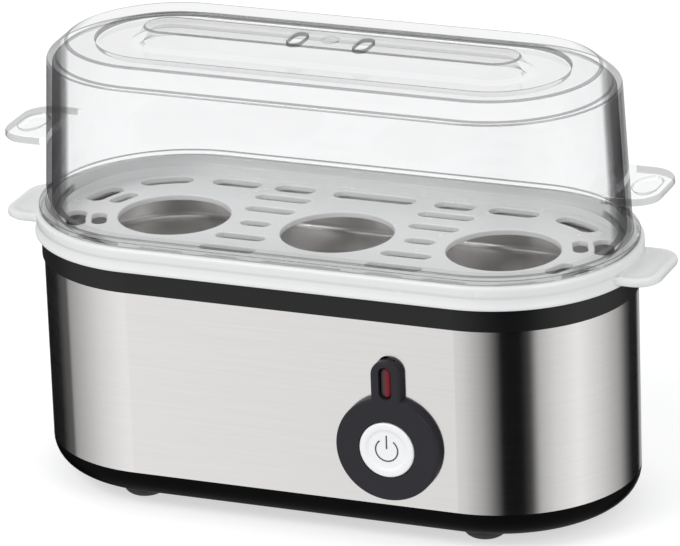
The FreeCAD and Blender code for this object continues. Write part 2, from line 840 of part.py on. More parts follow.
def make_element_terminals():
    pins = [cylinder(f"element_pin_{index}", "pin_width/2", "element_end - pin_bottom",
                     (signed("element_gap", sign), "element_radius", "pin_bottom"))
            for index, sign in enumerate((1, -1))]
    return keep(group("element_terminals", pins))


def make_thermostat():
    size = ("flange_half + flange_half", "flange_deep + flange_deep", "thermostat_flange")
    flange = block("thermostat_plate", size,
                   ("0 - flange_half", "0 - flange_deep", "pan_bottom - thermostat_flange"))
    cup = cylinder("thermostat_cup", "thermostat_width/2", "pan_bottom - thermostat_bottom",
                   ("0", "0", "thermostat_bottom"))
    size = ("terminal_thickness", "terminal_deep + terminal_deep", "terminal_length")
    tabs, holes = [], []
    for index, sign in enumerate(SIGNS):
        across = f"{signed('terminal_across', sign)} - terminal_thickness/2"
        tabs.append(block(f"thermostat_tab_{index}", size,
                          (across, "0 - terminal_deep", "thermostat_bottom - terminal_length")))
        holes.append(cylinder(f"thermostat_hole_{index}", "stud_width/2 + foot_gap", "pan_edge",
                              (signed("stud_across", sign), "0", "pan_bottom - 2")))
    blank = fuse("thermostat_blank", [flange, cup] + tabs)
    return keep(cut("thermostat", blank, fuse("thermostat_holes", holes)))


def make_nut(name, across_flats, height, place, bore):
    blank = hexagon(name + "_blank", across_flats, height, place)
    hole = cylinder(name + "_hole", bore, height, place)
    return cut(name, blank, hole)


def make_pan_nuts():
    small, large = [], []
    for index, sign in enumerate(SIGNS):
        place = (signed("stud_across", sign), "0", "pan_bottom - thermostat_flange - nut_height")
        small.append(make_nut(f"thermostat_nut_{index}", 5.5, "nut_height", place, "stud_width/2"))
        place = (signed("long_stud_across", sign), "0", "shield_top - shield_thickness - large_nut_height")
        large.append(make_nut(f"shield_nut_{index}", 7.0, "large_nut_height", place, "long_stud_width/2"))
    keep(group("thermostat_nuts", small))
    keep(group("shield_nuts", large))


def make_fuse():
    """One-shot fuse across the pan; a lead at each end turns down to its wire."""
    level = "pan_bottom - fuse_width/2 - stud_gap"
    barrel = cylinder("fuse_barrel", "fuse_width/2", "fuse_length",
                      ("fuse_across", "0 - fuse_length/2", level), BACKWARD)
    lead = cylinder("fuse_lead_wire", "fuse_lead/2", "fuse_length + fuse_lead_reach + fuse_lead_reach",
                    ("fuse_across", "0 - fuse_length/2 - fuse_lead_reach", level), BACKWARD)
    legs = [cylinder(f"fuse_leg_{index}", "fuse_leg/2", f"{level} - fuse_lead_end",
                     ("fuse_across", signed("fuse_lead_deep", sign), "fuse_lead_end"))
            for index, sign in enumerate(SIGNS)]
    return keep(fuse("thermal_fuse", [barrel, lead] + legs))


def make_fuse_clip():
    """Strip under the fuse, bent up to the pan and held by a long stud."""
    body = new_body("fuse_clip")
    under = "pan_bottom - strip_thickness"
    low = "pan_bottom - fuse_width - 0.7"
    end = "long_stud_across + clip_half"
    outline = [("fuse_across - clip_half", low), ("fuse_across + 3.5", low), ("fuse_across + 5.5", under),
               (end, under), (end, "pan_bottom"), ("fuse_across + 5", "pan_bottom"),
               ("fuse_across + 3", f"{low} + strip_thickness"),
               ("fuse_across - clip_half", f"{low} + strip_thickness")]
    pad(body, polygon(body, "0 - clip_half", outline, "XZ_Plane"), "clip_half + clip_half")
    pocket(body, circle(body, "pan_bottom + 0.1", "long_stud_across", "0", "long_stud_width/2 + stud_gap"),
           "1.5")
    return keep(body)


def make_earth_tag():
    body = new_body("earth_tag")
    under = "pan_bottom - strip_thickness"
    pad(body, circle(body, under, "0 - long_stud_across", "0", "clip_half"), "strip_thickness")
    pad(body, rectangle(body, under, "0 - long_stud_across - tag_reach - 1.5", "0 - long_stud_across - 3",
                        "0 - tag_half", "tag_half"), "strip_thickness")
    pocket(body, circle(body, "pan_bottom", "0 - long_stud_across", "0", "long_stud_width/2 + stud_gap"),
           "1.5")
    return keep(body)


def make_shield():
    spacers = []
    for index, sign in enumerate(SIGNS):
        place = (signed("long_stud_across", sign), "0", "shield_top")
        length = "pan_bottom - strip_thickness - shield_top"
        outer = cylinder(f"spacer_outer_{index}", "spacer_radius", length, place)
        inner = cylinder(f"spacer_inner_{index}", "long_stud_width/2 + stud_gap", length, place)
        spacers.append(cut(f"shield_spacer_{index}", outer, inner))
    keep(group("shield_spacers", spacers))
    body = new_body("heat_shield")
    pad(body, stadium(body, "shield_top - shield_thickness", "shield_radius", "shield_half"),
        "shield_thickness")
    holes = [("0", "0", "shield_opening"), ("0 - long_stud_across - tag_reach", "0", "lead_hole")]
    for sign in SIGNS:
        holes += [(signed("long_stud_across", sign), "0", "long_stud_width/2 + stud_gap"),
                  (signed("element_gap", sign), "element_radius", "element_hole"),
                  ("fuse_across", signed("fuse_lead_deep", sign), "lead_hole")]
    for across, along, radius in holes:
        pocket(body, circle(body, "shield_top", across, along, radius), "1")
    return keep(body)


# ---------------------------------------------------------------- control on the front

BEZEL_SCREWS = around("button_across", "bezel_screw_across")


def front_circle(body, level, radius):
    """Circle around the button's axis."""
    return circle(body, level, "button_across", "button_height", radius, "XZ_Plane")


def front_square(body, level, half):
    """Square around the button's axis."""
    return rectangle(body, level, *around("button_across", half), *around("button_height", half),
                     "XZ_Plane")


def window_slot(body, level, half_width, half_length):
    """Upright slot around the middle of the lamp window."""
    return oblong(body, level, "button_across", "window_height", half_width, half_length, "XZ_Plane")


def make_bezel():
    """Keyhole-shaped surround: a disc around the button and a neck with the lamp window."""
    body = new_body("control_bezel")
    deep = "bezel_front - sleeve_radius"
    pad(body, front_circle(body, "sleeve_radius", "bezel_radius"), deep)
    pad(body, arch(body, "sleeve_radius", "button_across", "button_height", "neck_half", "neck_top"), deep)
    fillet(body, flat_front("bezel_front"), "bezel_edge")
    pad(body, front_circle(body, "sleeve_radius", "spigot_radius"), "sleeve_radius - spigot_back",
        backward=True)
    pocket(body, front_circle(body, "bezel_front", "well_radius"), "bezel_front - spigot_back")
    pocket(body, window_slot(body, "bezel_front", "window_half_width", "window_half_length"), deep)
    for across in BEZEL_SCREWS:
        pocket(body, circle(body, "sleeve_radius", across, "button_height", "bezel_screw_shank/2",
                            "XZ_Plane"), "bezel_screw_bite + bezel_screw_gap", forward=True)
    return keep(body)


def make_lens():
    body = new_body("indicator_lens")
    pad(body, window_slot(body, "lens_back", "lens_half_width", "lens_half_length"),
        "lens_front - lens_back")
    return keep(body)


def make_lamp():
    """Neon lamp upright behind the window, with its two leads."""
    deep = "0 - lamp_deep"
    bulb = cylinder("lamp_bulb", "lamp_radius", "lamp_half + lamp_half",
                    ("button_across", deep, "window_height - lamp_half"))
    tip = doc.addObject("Part::Sphere", "lamp_tip")
    tip.setExpression("Radius", bound("lamp_radius"))
    put(tip, ("button_across", deep, "window_height + lamp_half"))
    leads = [cylinder(f"lamp_lead_{index}", "lamp_lead/2", "lamp_lead_length + 0.5",
                      (across, deep, "window_height - lamp_half - lamp_lead_length"))
             for index, across in enumerate(around("button_across", "lamp_lead_across"))]
    return keep(fuse("indicator_lamp", [bulb, tip] + leads))


def make_bracket():
    """Plate behind the steel with a cradle for the switch and a fork for the lamp."""
    body = new_body("switch_bracket")
    back = "bracket_front - bracket_plate"
    pad(body, rectangle(body, back, *around("button_across", "bracket_half"), "button_height - bracket_low",
                        "button_height + bracket_high", "XZ_Plane"), "bracket_plate")
    pad(body, rectangle(body, back, *around("button_across", "bracket_neck"),
                        "button_height + bracket_high - 1", "window_height + bracket_neck_top",
                        "XZ_Plane"), "bracket_plate")
    pocket(body, front_circle(body, "bracket_front", "spigot_radius + spigot_gap"), "bracket_plate")
    pocket(body, window_slot(body, "bracket_front", "window_half_width + opening_gap",
                             "window_half_length + opening_gap"), "bracket_plate")
    # cradle: four walls back from the plate, closed by a wall with the switch's opening
    pad(body, rectangle(body, "cradle_back", *around("button_across", "cradle_half"),
                        *around("button_height", "bracket_low"), "XZ_Plane"), f"{back} - cradle_back")
    pocket(body, rectangle(body, back, "button_across - cradle_half + cradle_wall",
                           "button_across + cradle_half - cradle_wall",
                           "button_height - bracket_low + cradle_wall",
                           "button_height + bracket_low - cradle_wall", "XZ_Plane"),
           f"{back} - cradle_back - cradle_floor")
    pocket(body, front_square(body, "cradle_back + cradle_floor", "switch_half"), "cradle_floor")
    pocket(body, front_circle(body, "bracket_front", "spigot_radius + spigot_gap"),
           "bracket_front - spigot_back + 0.3")
    # lamp fork
    for side in SIGNS:
        walls = [f"button_across {'+' if side > 0 else '-'} fork_half",
                 f"button_across {'+ fork_half -' if side > 0 else '- fork_half +'} fork_wall"]
        left, right = sorted(walls, key=number)
        pad(body, rectangle(body, "fork_back", left, right, *around("window_height", "fork_half"),
                            "XZ_Plane"), f"{back} - fork_back")
    for across in BEZEL_SCREWS:
        pocket(body, circle(body, "bracket_front", across, "button_height",
                            "bezel_screw_shank/2 + bezel_screw_gap", "XZ_Plane"), "bracket_plate")
    return keep(body)


def make_bezel_screws():
    """Screws from behind: the head is behind the plate, the shank goes into the surround."""
    screws = []
    for index, across in enumerate(BEZEL_SCREWS):
        head = cylinder(f"bezel_head_{index}", "bezel_screw_head/2", "bezel_screw_top",
                        (across, "bracket_plate - bracket_front", "button_height"), BACKWARD)
        shank = cylinder(f"bezel_shank_{index}", "bezel_screw_shank/2",
                         "sleeve_radius - bracket_front + bracket_plate + bezel_screw_bite",
                         (across, "0 - sleeve_radius - bezel_screw_bite", "button_height"), BACKWARD)
        screws.append(fuse(f"bezel_screw_{index}", [head, shank]))
    return keep(group("bezel_screws", screws))


def make_switch():
    """Push switch held in the cradle's wall, with a socket for the button's stem and two tabs."""
    body = new_body("power_switch")
    pad(body, front_square(body, "switch_back", "switch_body"), "switch_front - switch_back")
    pad(body, rectangle(body, "cradle_back + cradle_floor", *around("button_across", "switch_flange_half"),
                        *around("button_height", "switch_half"), "XZ_Plane"), "switch_flange")
    pocket(body, front_square(body, "switch_front", "socket_half"), "switch_socket")
    for middle in around("button_across", "switch_tab_across"):
        pad(body, rectangle(body, "switch_back", *around(middle, "switch_tab_half"),
                            *around("button_height", "switch_tab_deep"), "XZ_Plane"),
            "switch_tab_length", backward=True)
    return keep(body)


def make_button():
    """Round cap, hollow from behind, and the square stem that reaches into the switch."""
    body = new_body("button_cap")
    pad(body, front_circle(body, "cap_back", "cap_radius"), "cap_front - cap_back")
    fillet(body, flat_front("cap_front"), "cap_edge")
    pocket(body, front_circle(body, "cap_back", "cap_radius - cap_wall"), "cap_front - cap_back - cap_face",
           forward=True)
    pad(body, front_square(body, "cap_front - cap_face/2", "stem_width/2"),
        "cap_front - cap_face/2 - stem_back", backward=True)
    return keep(body)


def make_button_spring():
    """Return spring around the stem, from the switch's face to the cap."""
    wire, coil, turns = number("spring_wire/2"), number("spring_coil/2"), 5
    front = number("cap_front - cap_face") - wire
    back = number("switch_front") + wire
    helix = Part.makeLongHelix((front - back) / turns, front - back, coil)
    section = Part.Wire(Part.makeCircle(wire, V(coil, 0, 0), V(0, 1, 0)))
    solid = Part.Wire(helix.Edges).makePipeShell([section], True, True)
    item = doc.addObject("Part::Feature", "button_spring")
    item.Shape = solid
    item.Placement = FreeCAD.Placement(V(number("button_across"), -back, number("button_height")),
                                       FreeCAD.Rotation(V(1, 0, 0), 90))
    item.Label = "button_spring"
    return keep(item)


# ---------------------------------------------------------------- mains entry and wiring

def make_gland():
    """Bush through the steel: rim outside, tapered nose, threaded barrel inside, round bore."""
    rim = cylinder("gland_rim_disc", "gland_flange", "gland_rim",
                   ("0", "sleeve_radius", "gland_height"), BACKWARD)
    nose = doc.addObject("Part::Cone", "gland_nose")
    nose.setExpression("Radius1", bound("gland_radius + gland_flare"))
    nose.setExpression("Radius2", bound("gland_radius - gland_narrow"))
    nose.setExpression("Height", bound("gland_tip - sleeve_radius - gland_rim"))
    put(nose, ("0", "sleeve_radius + gland_rim", "gland_height"), BACKWARD)
    barrel = cylinder("gland_barrel", "gland_radius", "sleeve_radius - gland_back",
                      ("0", "gland_back", "gland_height"), BACKWARD)
    bore = cylinder("gland_bore_tool", "gland_bore", "gland_tip - gland_back + 2",
                    ("0", "gland_back - 1", "gland_height"), BACKWARD)
    return keep(cut("cord_gland", fuse("gland_blank", [rim, nose, barrel]), bore))


def make_gland_nut():
    blank = hexagon("gland_nut_blank", 14.0, "gland_nut_height",
                    ("0", "sleeve_radius - sleeve_wall - gland_nut_height", "gland_height"), BACKWARD)
    hole = cylinder("gland_nut_hole", "gland_radius", "sleeve_radius - gland_back",
                    ("0", "gland_back", "gland_height"), BACKWARD)
    return keep(cut("gland_nut", blank, hole))


def make_cord_clamp():
    """Bar on two bosses with a groove for the cord, and its two screws."""
    low = "clamp_deep - clamp_half_depth"
    size = ("clamp_half + clamp_half", "clamp_half_depth + clamp_half_depth", "clamp_height")
    bar = block("clamp_bar", size, ("0 - clamp_half", low, "clamp_level"))
    tools = [cylinder("clamp_groove", "gland_bore", "clamp_half_depth + clamp_half_depth + 2",
                      ("0", f"{low} - 1", "clamp_level + 0.2"), BACKWARD)]
    screws = []
    for index, sign in enumerate(SIGNS):
        across = signed("clamp_across", sign)
        tools.append(cylinder(f"clamp_hole_{index}", "screw_shank/2 + foot_gap", "clamp_height + 1",
                              (across, "clamp_deep", "clamp_level - 0.5")))
        head = cylinder(f"clamp_head_{index}", "clamp_screw_head/2", "clamp_screw_top",
                        (across, "clamp_deep", "clamp_level + clamp_height"))
        shank = cylinder(f"clamp_shank_{index}", "screw_shank/2", "clamp_height + 9",
                         (across, "clamp_deep", "clamp_level - 9"))
        screws.append(fuse(f"clamp_screw_{index}", [head, shank]))
    keep(cut("cord_clamp", bar, fuse("clamp_tools", tools)))
    keep(group("clamp_screws", screws))


BLOCK_ROWS = ("0 - block_pitch", "0", "block_pitch")
BLOCK_SCREWS = around("block_across", "block_screw")
BLOCK_GRUBS = around("block_across", "grub_across")


def make_terminal_block():
    """Three-way block, long in X, with a wire bore along each way and two clamping screws on it."""
    body = new_body("terminal_block")
    height = "block_top - block_bottom"
    pad(body, rectangle(body, "block_bottom", *around("block_across", "block_half"), "0 - block_deep",
                        "block_deep"), height)
    for along in BLOCK_ROWS:
        pocket(body, circle(body, "block_across - block_half - 1", along, "bore_level", "bore_width/2",
                            "YZ_Plane"), "block_half + block_half + 2", forward=True)
        for across in BLOCK_GRUBS:
            pocket(body, circle(body, "block_top", across, along, "grub_width/2 + stud_gap"), "grub_length")
    for across in BLOCK_SCREWS:
        pocket(body, circle(body, "block_top", across, "0", "block_screw_head/2 + spigot_gap + spigot_gap"),
               "block_well")
        pocket(body, circle(body, "block_top", across, "0", "block_screw_shank/2 + 0.3"), height)
    return keep(body)


def make_block_screws():
    grubs = [cylinder(f"block_grub_{row}_{side}", "grub_width/2", "grub_length",
                      (across, along, "block_top - grub_length"))
             for row, along in enumerate(BLOCK_ROWS) for side, across in enumerate(BLOCK_GRUBS)]
    keep(group("terminal_screws", grubs))
    screws = []
    seat = "block_top - block_well"
    for index, across in enumerate(BLOCK_SCREWS):
        head = cylinder(f"block_head_{index}", "block_screw_head/2", "2", (across, "0", seat))
        shank = cylinder(f"block_shank_{index}", "block_screw_shank/2",
                         f"{seat} - block_bottom + block_screw_bite",
                         (across, "0", "block_bottom - block_screw_bite"))
        screws.append(fuse(f"block_screw_{index}", [head, shank]))
    keep(group("block_screws", screws))


def make_wire(label, points):
    """Insulated wire; each bend is as large as its two runs allow."""
    places = [V(*point) for point in points]
    bends = []
    for before, corner, after in zip(places, places[1:], places[2:]):
        half_turn = (corner - before).getAngle(after - corner) / 2
        shorter = min((corner - before).Length, (after - corner).Length)
        bends.append(0.45 * shorter / math.tan(half_turn))
    print(label, "bend radii", [round(bend, 1) for bend in bends])
    item = doc.addObject("Part::Feature", label)
    item.Shape = tube(places, number("wire_width/2"), bends)
    item.Label = label
    return keep(item)


def make_wires():
    """Runs from the terminal block to switch, thermostat, fuse, element and earth tag."""
    start, bore, row = number("block_across + block_half"), number("bore_level"), number("block_pitch")
    x, z = number("button_across"), number("button_height")
    left, right = x - number("switch_tab_across"), x + number("switch_tab_across")
    tab = number("switch_tab_length - switch_back")
    stat_x, stat_z = number("terminal_across"), number("thermostat_bottom - terminal_length")
    pin_x, pin_y, pin_z = number("element_gap"), number("element_radius"), number("pin_bottom")
    tag_x, tag_z = number("0 - long_stud_across - tag_reach"), number("pan_bottom - strip_thickness")
    fuse_x, fuse_y, fuse_z = number("fuse_across"), number("fuse_lead_deep"), number("fuse_lead_end")
    make_wire("live_wire", [(start, -row, bore), (-13, -6, bore), (-3, -9, 19), (8, -11, 23), (18, -8, 28),
                            (25, -2, z - 1), (left, tab + 8, z), (left, tab, z)])
    make_wire("switched_wire", [(right, tab, z), (right, tab + 9, z), (31, 2, 36), (21, 3, 39),
                                (11, 1, 41.5), (stat_x, 0, 45), (stat_x, 0, stat_z)])
    make_wire("fuse_wire", [(-stat_x, 0, stat_z), (-stat_x, 0, 44.5), (1, -6, 42), (11, -9, 41),
                            (21, -9.5, 41), (fuse_x, -fuse_y, 44), (fuse_x, -fuse_y, fuse_z)])
    make_wire("neutral_wire", [(start, 0, bore), (-14, 0.5, bore), (-9, 5, 20), (-8.5, 12, 25),
                               (-pin_x, pin_y, 32), (-pin_x, pin_y, pin_z)])
    make_wire("element_wire", [(pin_x, pin_y, pin_z), (pin_x, pin_y, 34), (15, 19, 30), (23, 14, 33),
                               (fuse_x, fuse_y, 41), (fuse_x, fuse_y, fuse_z)])
    make_wire("earth_wire", [(start, row, bore), (-14, 6, 17.5), (-13, 13, 20.5), (-20, 19, 27),
                             (-34, 18, 33), (-47, 9, 37), (tag_x, 0, 43), (tag_x, 0, tag_z)])


# ---------------------------------------------------------------- egg tray

def ring_slot(name, start, stop, sign):
    """Cutter for a curved slot around one end; angles in degrees from the long axis."""
    outer = doc.addObject("Part::Cylinder", name + "_outer")
    inner = doc.addObject("Part::Cylinder", name + "_inner")
    turn = start if sign > 0 else 180 - stop
    for item, side in ((outer, "+"), (inner, "-")):
        item.setExpression("Radius", bound(f"ring_radius {side} ring_half"))
        item.setExpression("Height", bound("plate_thickness + 2"))
        item.Angle = stop - start if side == "+" else 360
        put(item, (signed("straight_half", sign), "0", "plate_top - plate_thickness - 1"),
            FreeCAD.Rotation(UP, turn if side == "+" else 0))
    return cut(name, outer, inner)


def tray_slot(name, across, along, half_length, half_width, turn=0):
    """Cutter for a straight slot; turn is its direction in degrees from the long axis."""
    item = doc.addObject("Part::Box", name)
    item.Length, item.Width = 2 * half_length, 2 * half_width
    item.setExpression("Height", bound("plate_thickness + 2"))
    spin = FreeCAD.Rotation(UP, turn)
    corner = V(across, along, 0) - spin.multVec(V(half_length, half_width, 0))
    return put(item, (f"{corner.x:.3f}", f"{corner.y:.3f}", "plate_top - plate_thickness - 1"), spin)


RUNGS = ((0, 4.8), (12, 8.0), (-12, 8.0))
ARCS = ((46, 76), (8, 33), (-33, -8), (-76, -46))
SIDE_SLOTS = ((26.5, 6.5), (46.0, 8.0))


def slot_cutters():
    """Steam slots: a ladder between the seats, a ring around them, one slanted pair at each end."""
    rung, ring = number("ladder_across"), number("ring_radius")
    narrow, wide = number("slot_half"), number("ring_half")
    tools = []
    for sx in SIGNS:
        for along, half_length in RUNGS:
            tools.append(tray_slot(f"rung_{len(tools)}", rung * sx, along, half_length, narrow))
        for start, stop in ARCS:
            tools.append(ring_slot(f"arc_{len(tools)}", start, stop, sx))
        for sy in SIGNS:
            tools.append(tray_slot(f"long_{len(tools)}", rung * sx, 22.5 * sy, 9.0, narrow))
            for across, half_length in SIDE_SLOTS:
                tools.append(tray_slot(f"side_{len(tools)}", across * sx, ring * sy, half_length, wide))
            tools.append(tray_slot(f"end_{len(tools)}", 75.2 * sx, 9.5 * sy, 5.2, narrow, -68 * sx * sy))
    for sy in SIGNS:
        tools.append(tray_slot(f"middle_{len(tools)}", 0, ring * sy, 13.5, wide))
    return tools


def make_tray():
    """Rim with a groove, sunk plate with egg seats and steam slots, two dished tabs."""
    body = new_body("tray_blank")
    pad(body, stadium(body, "collar_top", "tray_radius"), "tray_top - collar_top")
    fillet(body, level_edge("tray_top"), "tray_edge")
    fillet(body, level_edge("collar_top"), "tray_edge")
    for side in SIGNS:
        pad(body, end_tab(body, "tab_bottom", side, "tray_inner + 2", "tab_half", "tab_tip", "tab_corner"),
            "tab_top - tab_bottom")
        pocket(body, end_tab(body, "tab_top", side, "tray_radius + 2", "tab_half - tab_border",
                             "tab_tip - tab_border", "tab_corner - tab_border"), "tab_dish")
    pocket(body, stadium(body, "tray_top", "tray_inner"), "tray_top - plate_top")
    low = "collar_top - spigot_drop"
    pad(body, stadium(body, low, "recess_radius - 0.4"), "spigot_drop + 0.8")
    pocket(body, stadium(body, low, "tray_inner - 0.8"),
           "plate_top - plate_thickness - collar_top + spigot_drop", forward=True)
    pocket(body, stadium_band(body, "groove_level + groove_width/2", "tray_radius - groove_depth",
                              "tray_radius + 3"), "groove_width")
    for across in ("0", "seat_pitch", "0 - seat_pitch"):
        pocket(body, circle(body, "plate_top", across, "0", "seat_radius"), "plate_thickness")
    return keep(cut("egg_tray", body, fuse("tray_slots", slot_cutters())))


# ---------------------------------------------------------------- lid

def lean(feature, reach, rise):
    """Slope the walls of a pad or pocket by reach over rise."""
    feature.setExpression("TaperAngle", f"atan(({bound(reach)}) / ({bound(rise)}))")
    return settle(feature)


def draft(feature):
    """Lean the walls of a pad or pocket inward by the lid's draft angle."""
    return lean(feature, "lid_head - lid_foot", "lid_top - tray_top")


def make_lid():
    """Clear steam cover: drafted wall, sloping shoulder, sunk top with a vented ridge, two grips."""
    body = new_body("lid")
    floor = "lid_top - recess_depth"
    ceiling = "lid_top - recess_depth - lid_wall"
    draft(pad(body, stadium(body, "tray_top", "lid_foot"), "lid_top - tray_top"))
    draft(pocket(body, stadium(body, "flange_top", "lid_foot - lid_wall - 0.1"), f"{ceiling} - flange_top",
                 forward=True))
    chamfer(body, level_edge(ceiling), "shoulder/2")
    chamfer(body, level_edge("lid_top"), "shoulder")
    pad(body, stadium(body, "tray_top", "lid_flange"), "flange_top - tray_top")
    pad(body, stadium(body, "lid_lip_bottom", "lid_lip"), "tray_top - lid_lip_bottom + 0.2")
    pocket(body, stadium(body, "lid_top", "recess_loop"), "recess_depth")
    for side in SIGNS:
        pad(body, end_tab(body, "grip_top - grip_thickness", side, "lid_head + 0.2", "grip_half",
                          "grip_tip", "grip_corner"), "grip_thickness")
        pocket(body, oblong(body, "grip_top", signed("dish_across", side), "0", "dish_half_width",
                            "dish_half_length"), "dish_depth")
    rise = "ridge_top - lid_top + recess_depth"
    lean(pad(body, stadium(body, floor, "ridge_foot"), rise), "ridge_head - ridge_foot", rise)
    fillet(body, level_edge("ridge_top"), "ridge_edge")
    # opening at the foot, channel under the ridge, vents through the ridge
    pocket(body, stadium(body, "lid_lip_bottom", "lid_lip - lid_wall + 0.3"), "flange_top - lid_lip_bottom",
           forward=True)
    pocket(body, stadium(body, ceiling, "channel_radius"), rise, forward=True)
    for sign in SIGNS:
        pocket(body, oblong(body, "ridge_top", signed("vent_across", sign), "0", "vent_half_width",
                            "vent_half_length"), "lid_wall + 0.2")
    return keep(body)


# ---------------------------------------------------------------- build, check, write

make_base()
make_feet()
make_sleeve()
make_collar()
make_body_screws()
make_pan()
make_seal()
make_element()
make_element_terminals()
make_thermostat()
make_pan_nuts()
make_fuse()
make_fuse_clip()
make_earth_tag()
make_shield()
make_bezel()
make_lens()
make_lamp()
make_bracket()
make_bezel_screws()
make_switch()
make_button()
make_button_spring()
make_gland()
make_gland_nut()
make_cord_clamp()
make_terminal_block()
make_block_screws()
make_wires()
make_tray()
make_lid()
doc.recompute()

for item in doc.Objects:
    if "Invalid" in item.State or "Error" in item.State:
        raise RuntimeError(f"{item.Label}: {item.State}")

os.makedirs("parts", exist_ok=True)
for item in NODES:
    if item.Shape.isNull() or not item.Shape.isValid():
        raise RuntimeError(f"{item.Label}: no valid shape")
    item.Shape.exportStep(f"parts/{item.Label}.step")
    print(item.Label, len(item.Shape.Solids), round(item.Shape.Volume))
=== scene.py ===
"""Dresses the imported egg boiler: moulded shapes, procedural materials, studio light and camera."""

import math

import bpy
import bmesh
from mathutils import Matrix, Vector


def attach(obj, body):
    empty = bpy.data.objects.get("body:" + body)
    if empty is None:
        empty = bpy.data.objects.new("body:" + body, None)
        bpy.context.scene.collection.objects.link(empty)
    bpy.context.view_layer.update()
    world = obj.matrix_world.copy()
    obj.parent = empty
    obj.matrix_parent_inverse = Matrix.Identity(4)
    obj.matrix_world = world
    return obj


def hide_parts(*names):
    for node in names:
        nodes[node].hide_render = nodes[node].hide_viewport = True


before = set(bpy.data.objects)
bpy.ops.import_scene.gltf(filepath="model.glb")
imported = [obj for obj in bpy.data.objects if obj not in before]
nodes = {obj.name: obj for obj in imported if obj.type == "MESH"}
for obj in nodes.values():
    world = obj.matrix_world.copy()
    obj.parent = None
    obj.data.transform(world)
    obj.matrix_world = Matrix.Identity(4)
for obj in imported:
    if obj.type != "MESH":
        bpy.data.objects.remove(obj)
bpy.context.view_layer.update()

MM = 0.001
RUN = 53.0             # half of the straight middle that every moulding shares
ROUND_STEPS = 56       # segments of each half-round end
CORNER_STEPS = 4       # segments of each rounded corner of a section
CREASE = 35            # degrees between faces from which an edge stays sharp


# ---------------------------------------------------------------- outlines

def arc(middle, radius, start, stop, steps):
    """Points of an arc with both its ends; angles in degrees."""
    points = []
    for i in range(steps + 1):
        angle = math.radians(start + (stop - start) * i / steps)
        points.append((middle[0] + radius * math.cos(angle), middle[1] + radius * math.sin(angle)))
    return points


def circle(middle, radius, steps):
    return arc(middle, radius, 0, 360, steps)[:-1]


def capsule(middle, reach, radius, steps):
    """Outline with half-round ends, long in its second direction; reach is from middle to end centre."""
    x, y = middle
    return arc((x, y + reach), radius, 0, 180, steps) + arc((x, y - reach), radius, 180, 360, steps)


def stadium(radius, z):
    """Loop of the common plan at one height, seen from above, counter-clockwise."""
    ends = arc((RUN, 0), radius, -90, 90, ROUND_STEPS) + arc((-RUN, 0), radius, 90, 270, ROUND_STEPS)
    return [(x, y, z) for x, y in ends]


def bend(start, turn, stop, t):
    """Point at t on the curve that leaves start towards turn and arrives at stop."""
    return start * (1 - t) ** 2 + turn * 2 * t * (1 - t) + stop * t ** 2


def rounded(corners, closed=False):
    """Section line through corners; the last entry of each corner is how far its rounding reaches."""
    line, count = [], len(corners)
    for i, (*place, reach) in enumerate(corners):
        here = Vector(place)
        if reach == 0 or (not closed and i in (0, count - 1)):
            line.append(tuple(here))
            continue
        before, after = Vector(corners[i - 1][:2]), Vector(corners[(i + 1) % count][:2])
        start = here + (before - here).normalized() * reach
        stop = here + (after - here).normalized() * reach
        line += [tuple(bend(start, here, stop, k / CORNER_STEPS)) for k in range(CORNER_STEPS + 1)]
    return line


FLARE_REACH, FLARE_TURN = 1.3, 0.25     # length of a grip's flare and place of its bend, for each mm of width


def tab_outline(side, z, root, half, tip, corner, flare, steps=10):
    """Grip outline at one end: flared foot, straight sides, two round corners; root is the foot's arc."""
    def foot(y):
        return RUN + math.sqrt(root ** 2 - y ** 2)

    wide = half + flare
    start = Vector((foot(wide), -wide))
    turn = Vector((foot(half) + flare * FLARE_TURN, -half))
    stop = Vector((foot(half) + flare * FLARE_REACH, -half))
    points = [bend(start, turn, stop, k / (steps - 1)) for k in range(steps)]
    points += [Vector(point) for point in arc((tip - corner, corner - half), corner, -90, 0, steps)]
    mirrored = [Vector((p.x, -p.y)) for p in reversed(points)]
    last = mirrored[-1].y
    inner = []
    for k in range(1, steps):
        y = last - 2 * last * k / steps
        inner.append(Vector((foot(y), y)))
    return [(side * p.x, side * p.y, z) for p in points + mirrored + inner]


# ---------------------------------------------------------------- pieces

def skin(loops, ring=False):
    """Mesh data through loops of equal length; ring joins the last to the first, else both are closed."""
    count = len(loops[0])
    verts = [tuple(MM * c for c in point) for loop in loops for point in loop]
    faces = []
    for k in range(len(loops) if ring else len(loops) - 1):
        a, b = k * count, (k + 1) % len(loops) * count
        for i in range(count):
            j = (i + 1) % count
            faces.append((a + i, a + j, b + j, b + i))
    if not ring:
        faces.append(tuple(reversed(range(count))))
        faces.append(tuple(range(len(verts) - count, len(verts))))
    return verts, faces


def make_piece(name, skins, body, replaced=(), smooth=CREASE):
    """One object from one or more closed skins; a cutting tool has no body."""
    mesh = bpy.data.meshes.new(name)
    verts, faces = [], []
    for some_verts, some_faces in skins:
        shift = len(verts)
        verts += some_verts
        faces += [tuple(shift + i for i in face) for face in some_faces]
    mesh.from_pydata(verts, [], faces)
    piece = bpy.data.objects.new(name, mesh)
    bpy.context.scene.collection.objects.link(piece)
    tidy_mesh(piece, smooth)
    if body:
        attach(piece, body)
    if replaced:
        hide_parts(*replaced)
    return piece


def tidy_mesh(piece, smooth):
    """Outward faces, smooth shading, and creases where faces meet at a sharp angle."""
    work = bmesh.new()
    work.from_mesh(piece.data)
    bmesh.ops.remove_doubles(work, verts=work.verts, dist=1e-7)
    bmesh.ops.recalc_face_normals(work, faces=work.faces)
    limit = math.radians(smooth)
    for face in work.faces:
        face.smooth = True
    for edge in work.edges:
        edge.smooth = len(edge.link_faces) == 2 and edge.calc_face_angle(0) < limit
    work.to_mesh(piece.data)
    work.free()
    weighted = piece.modifiers.new("normals", "WEIGHTED_NORMAL")
    weighted.keep_sharp = True


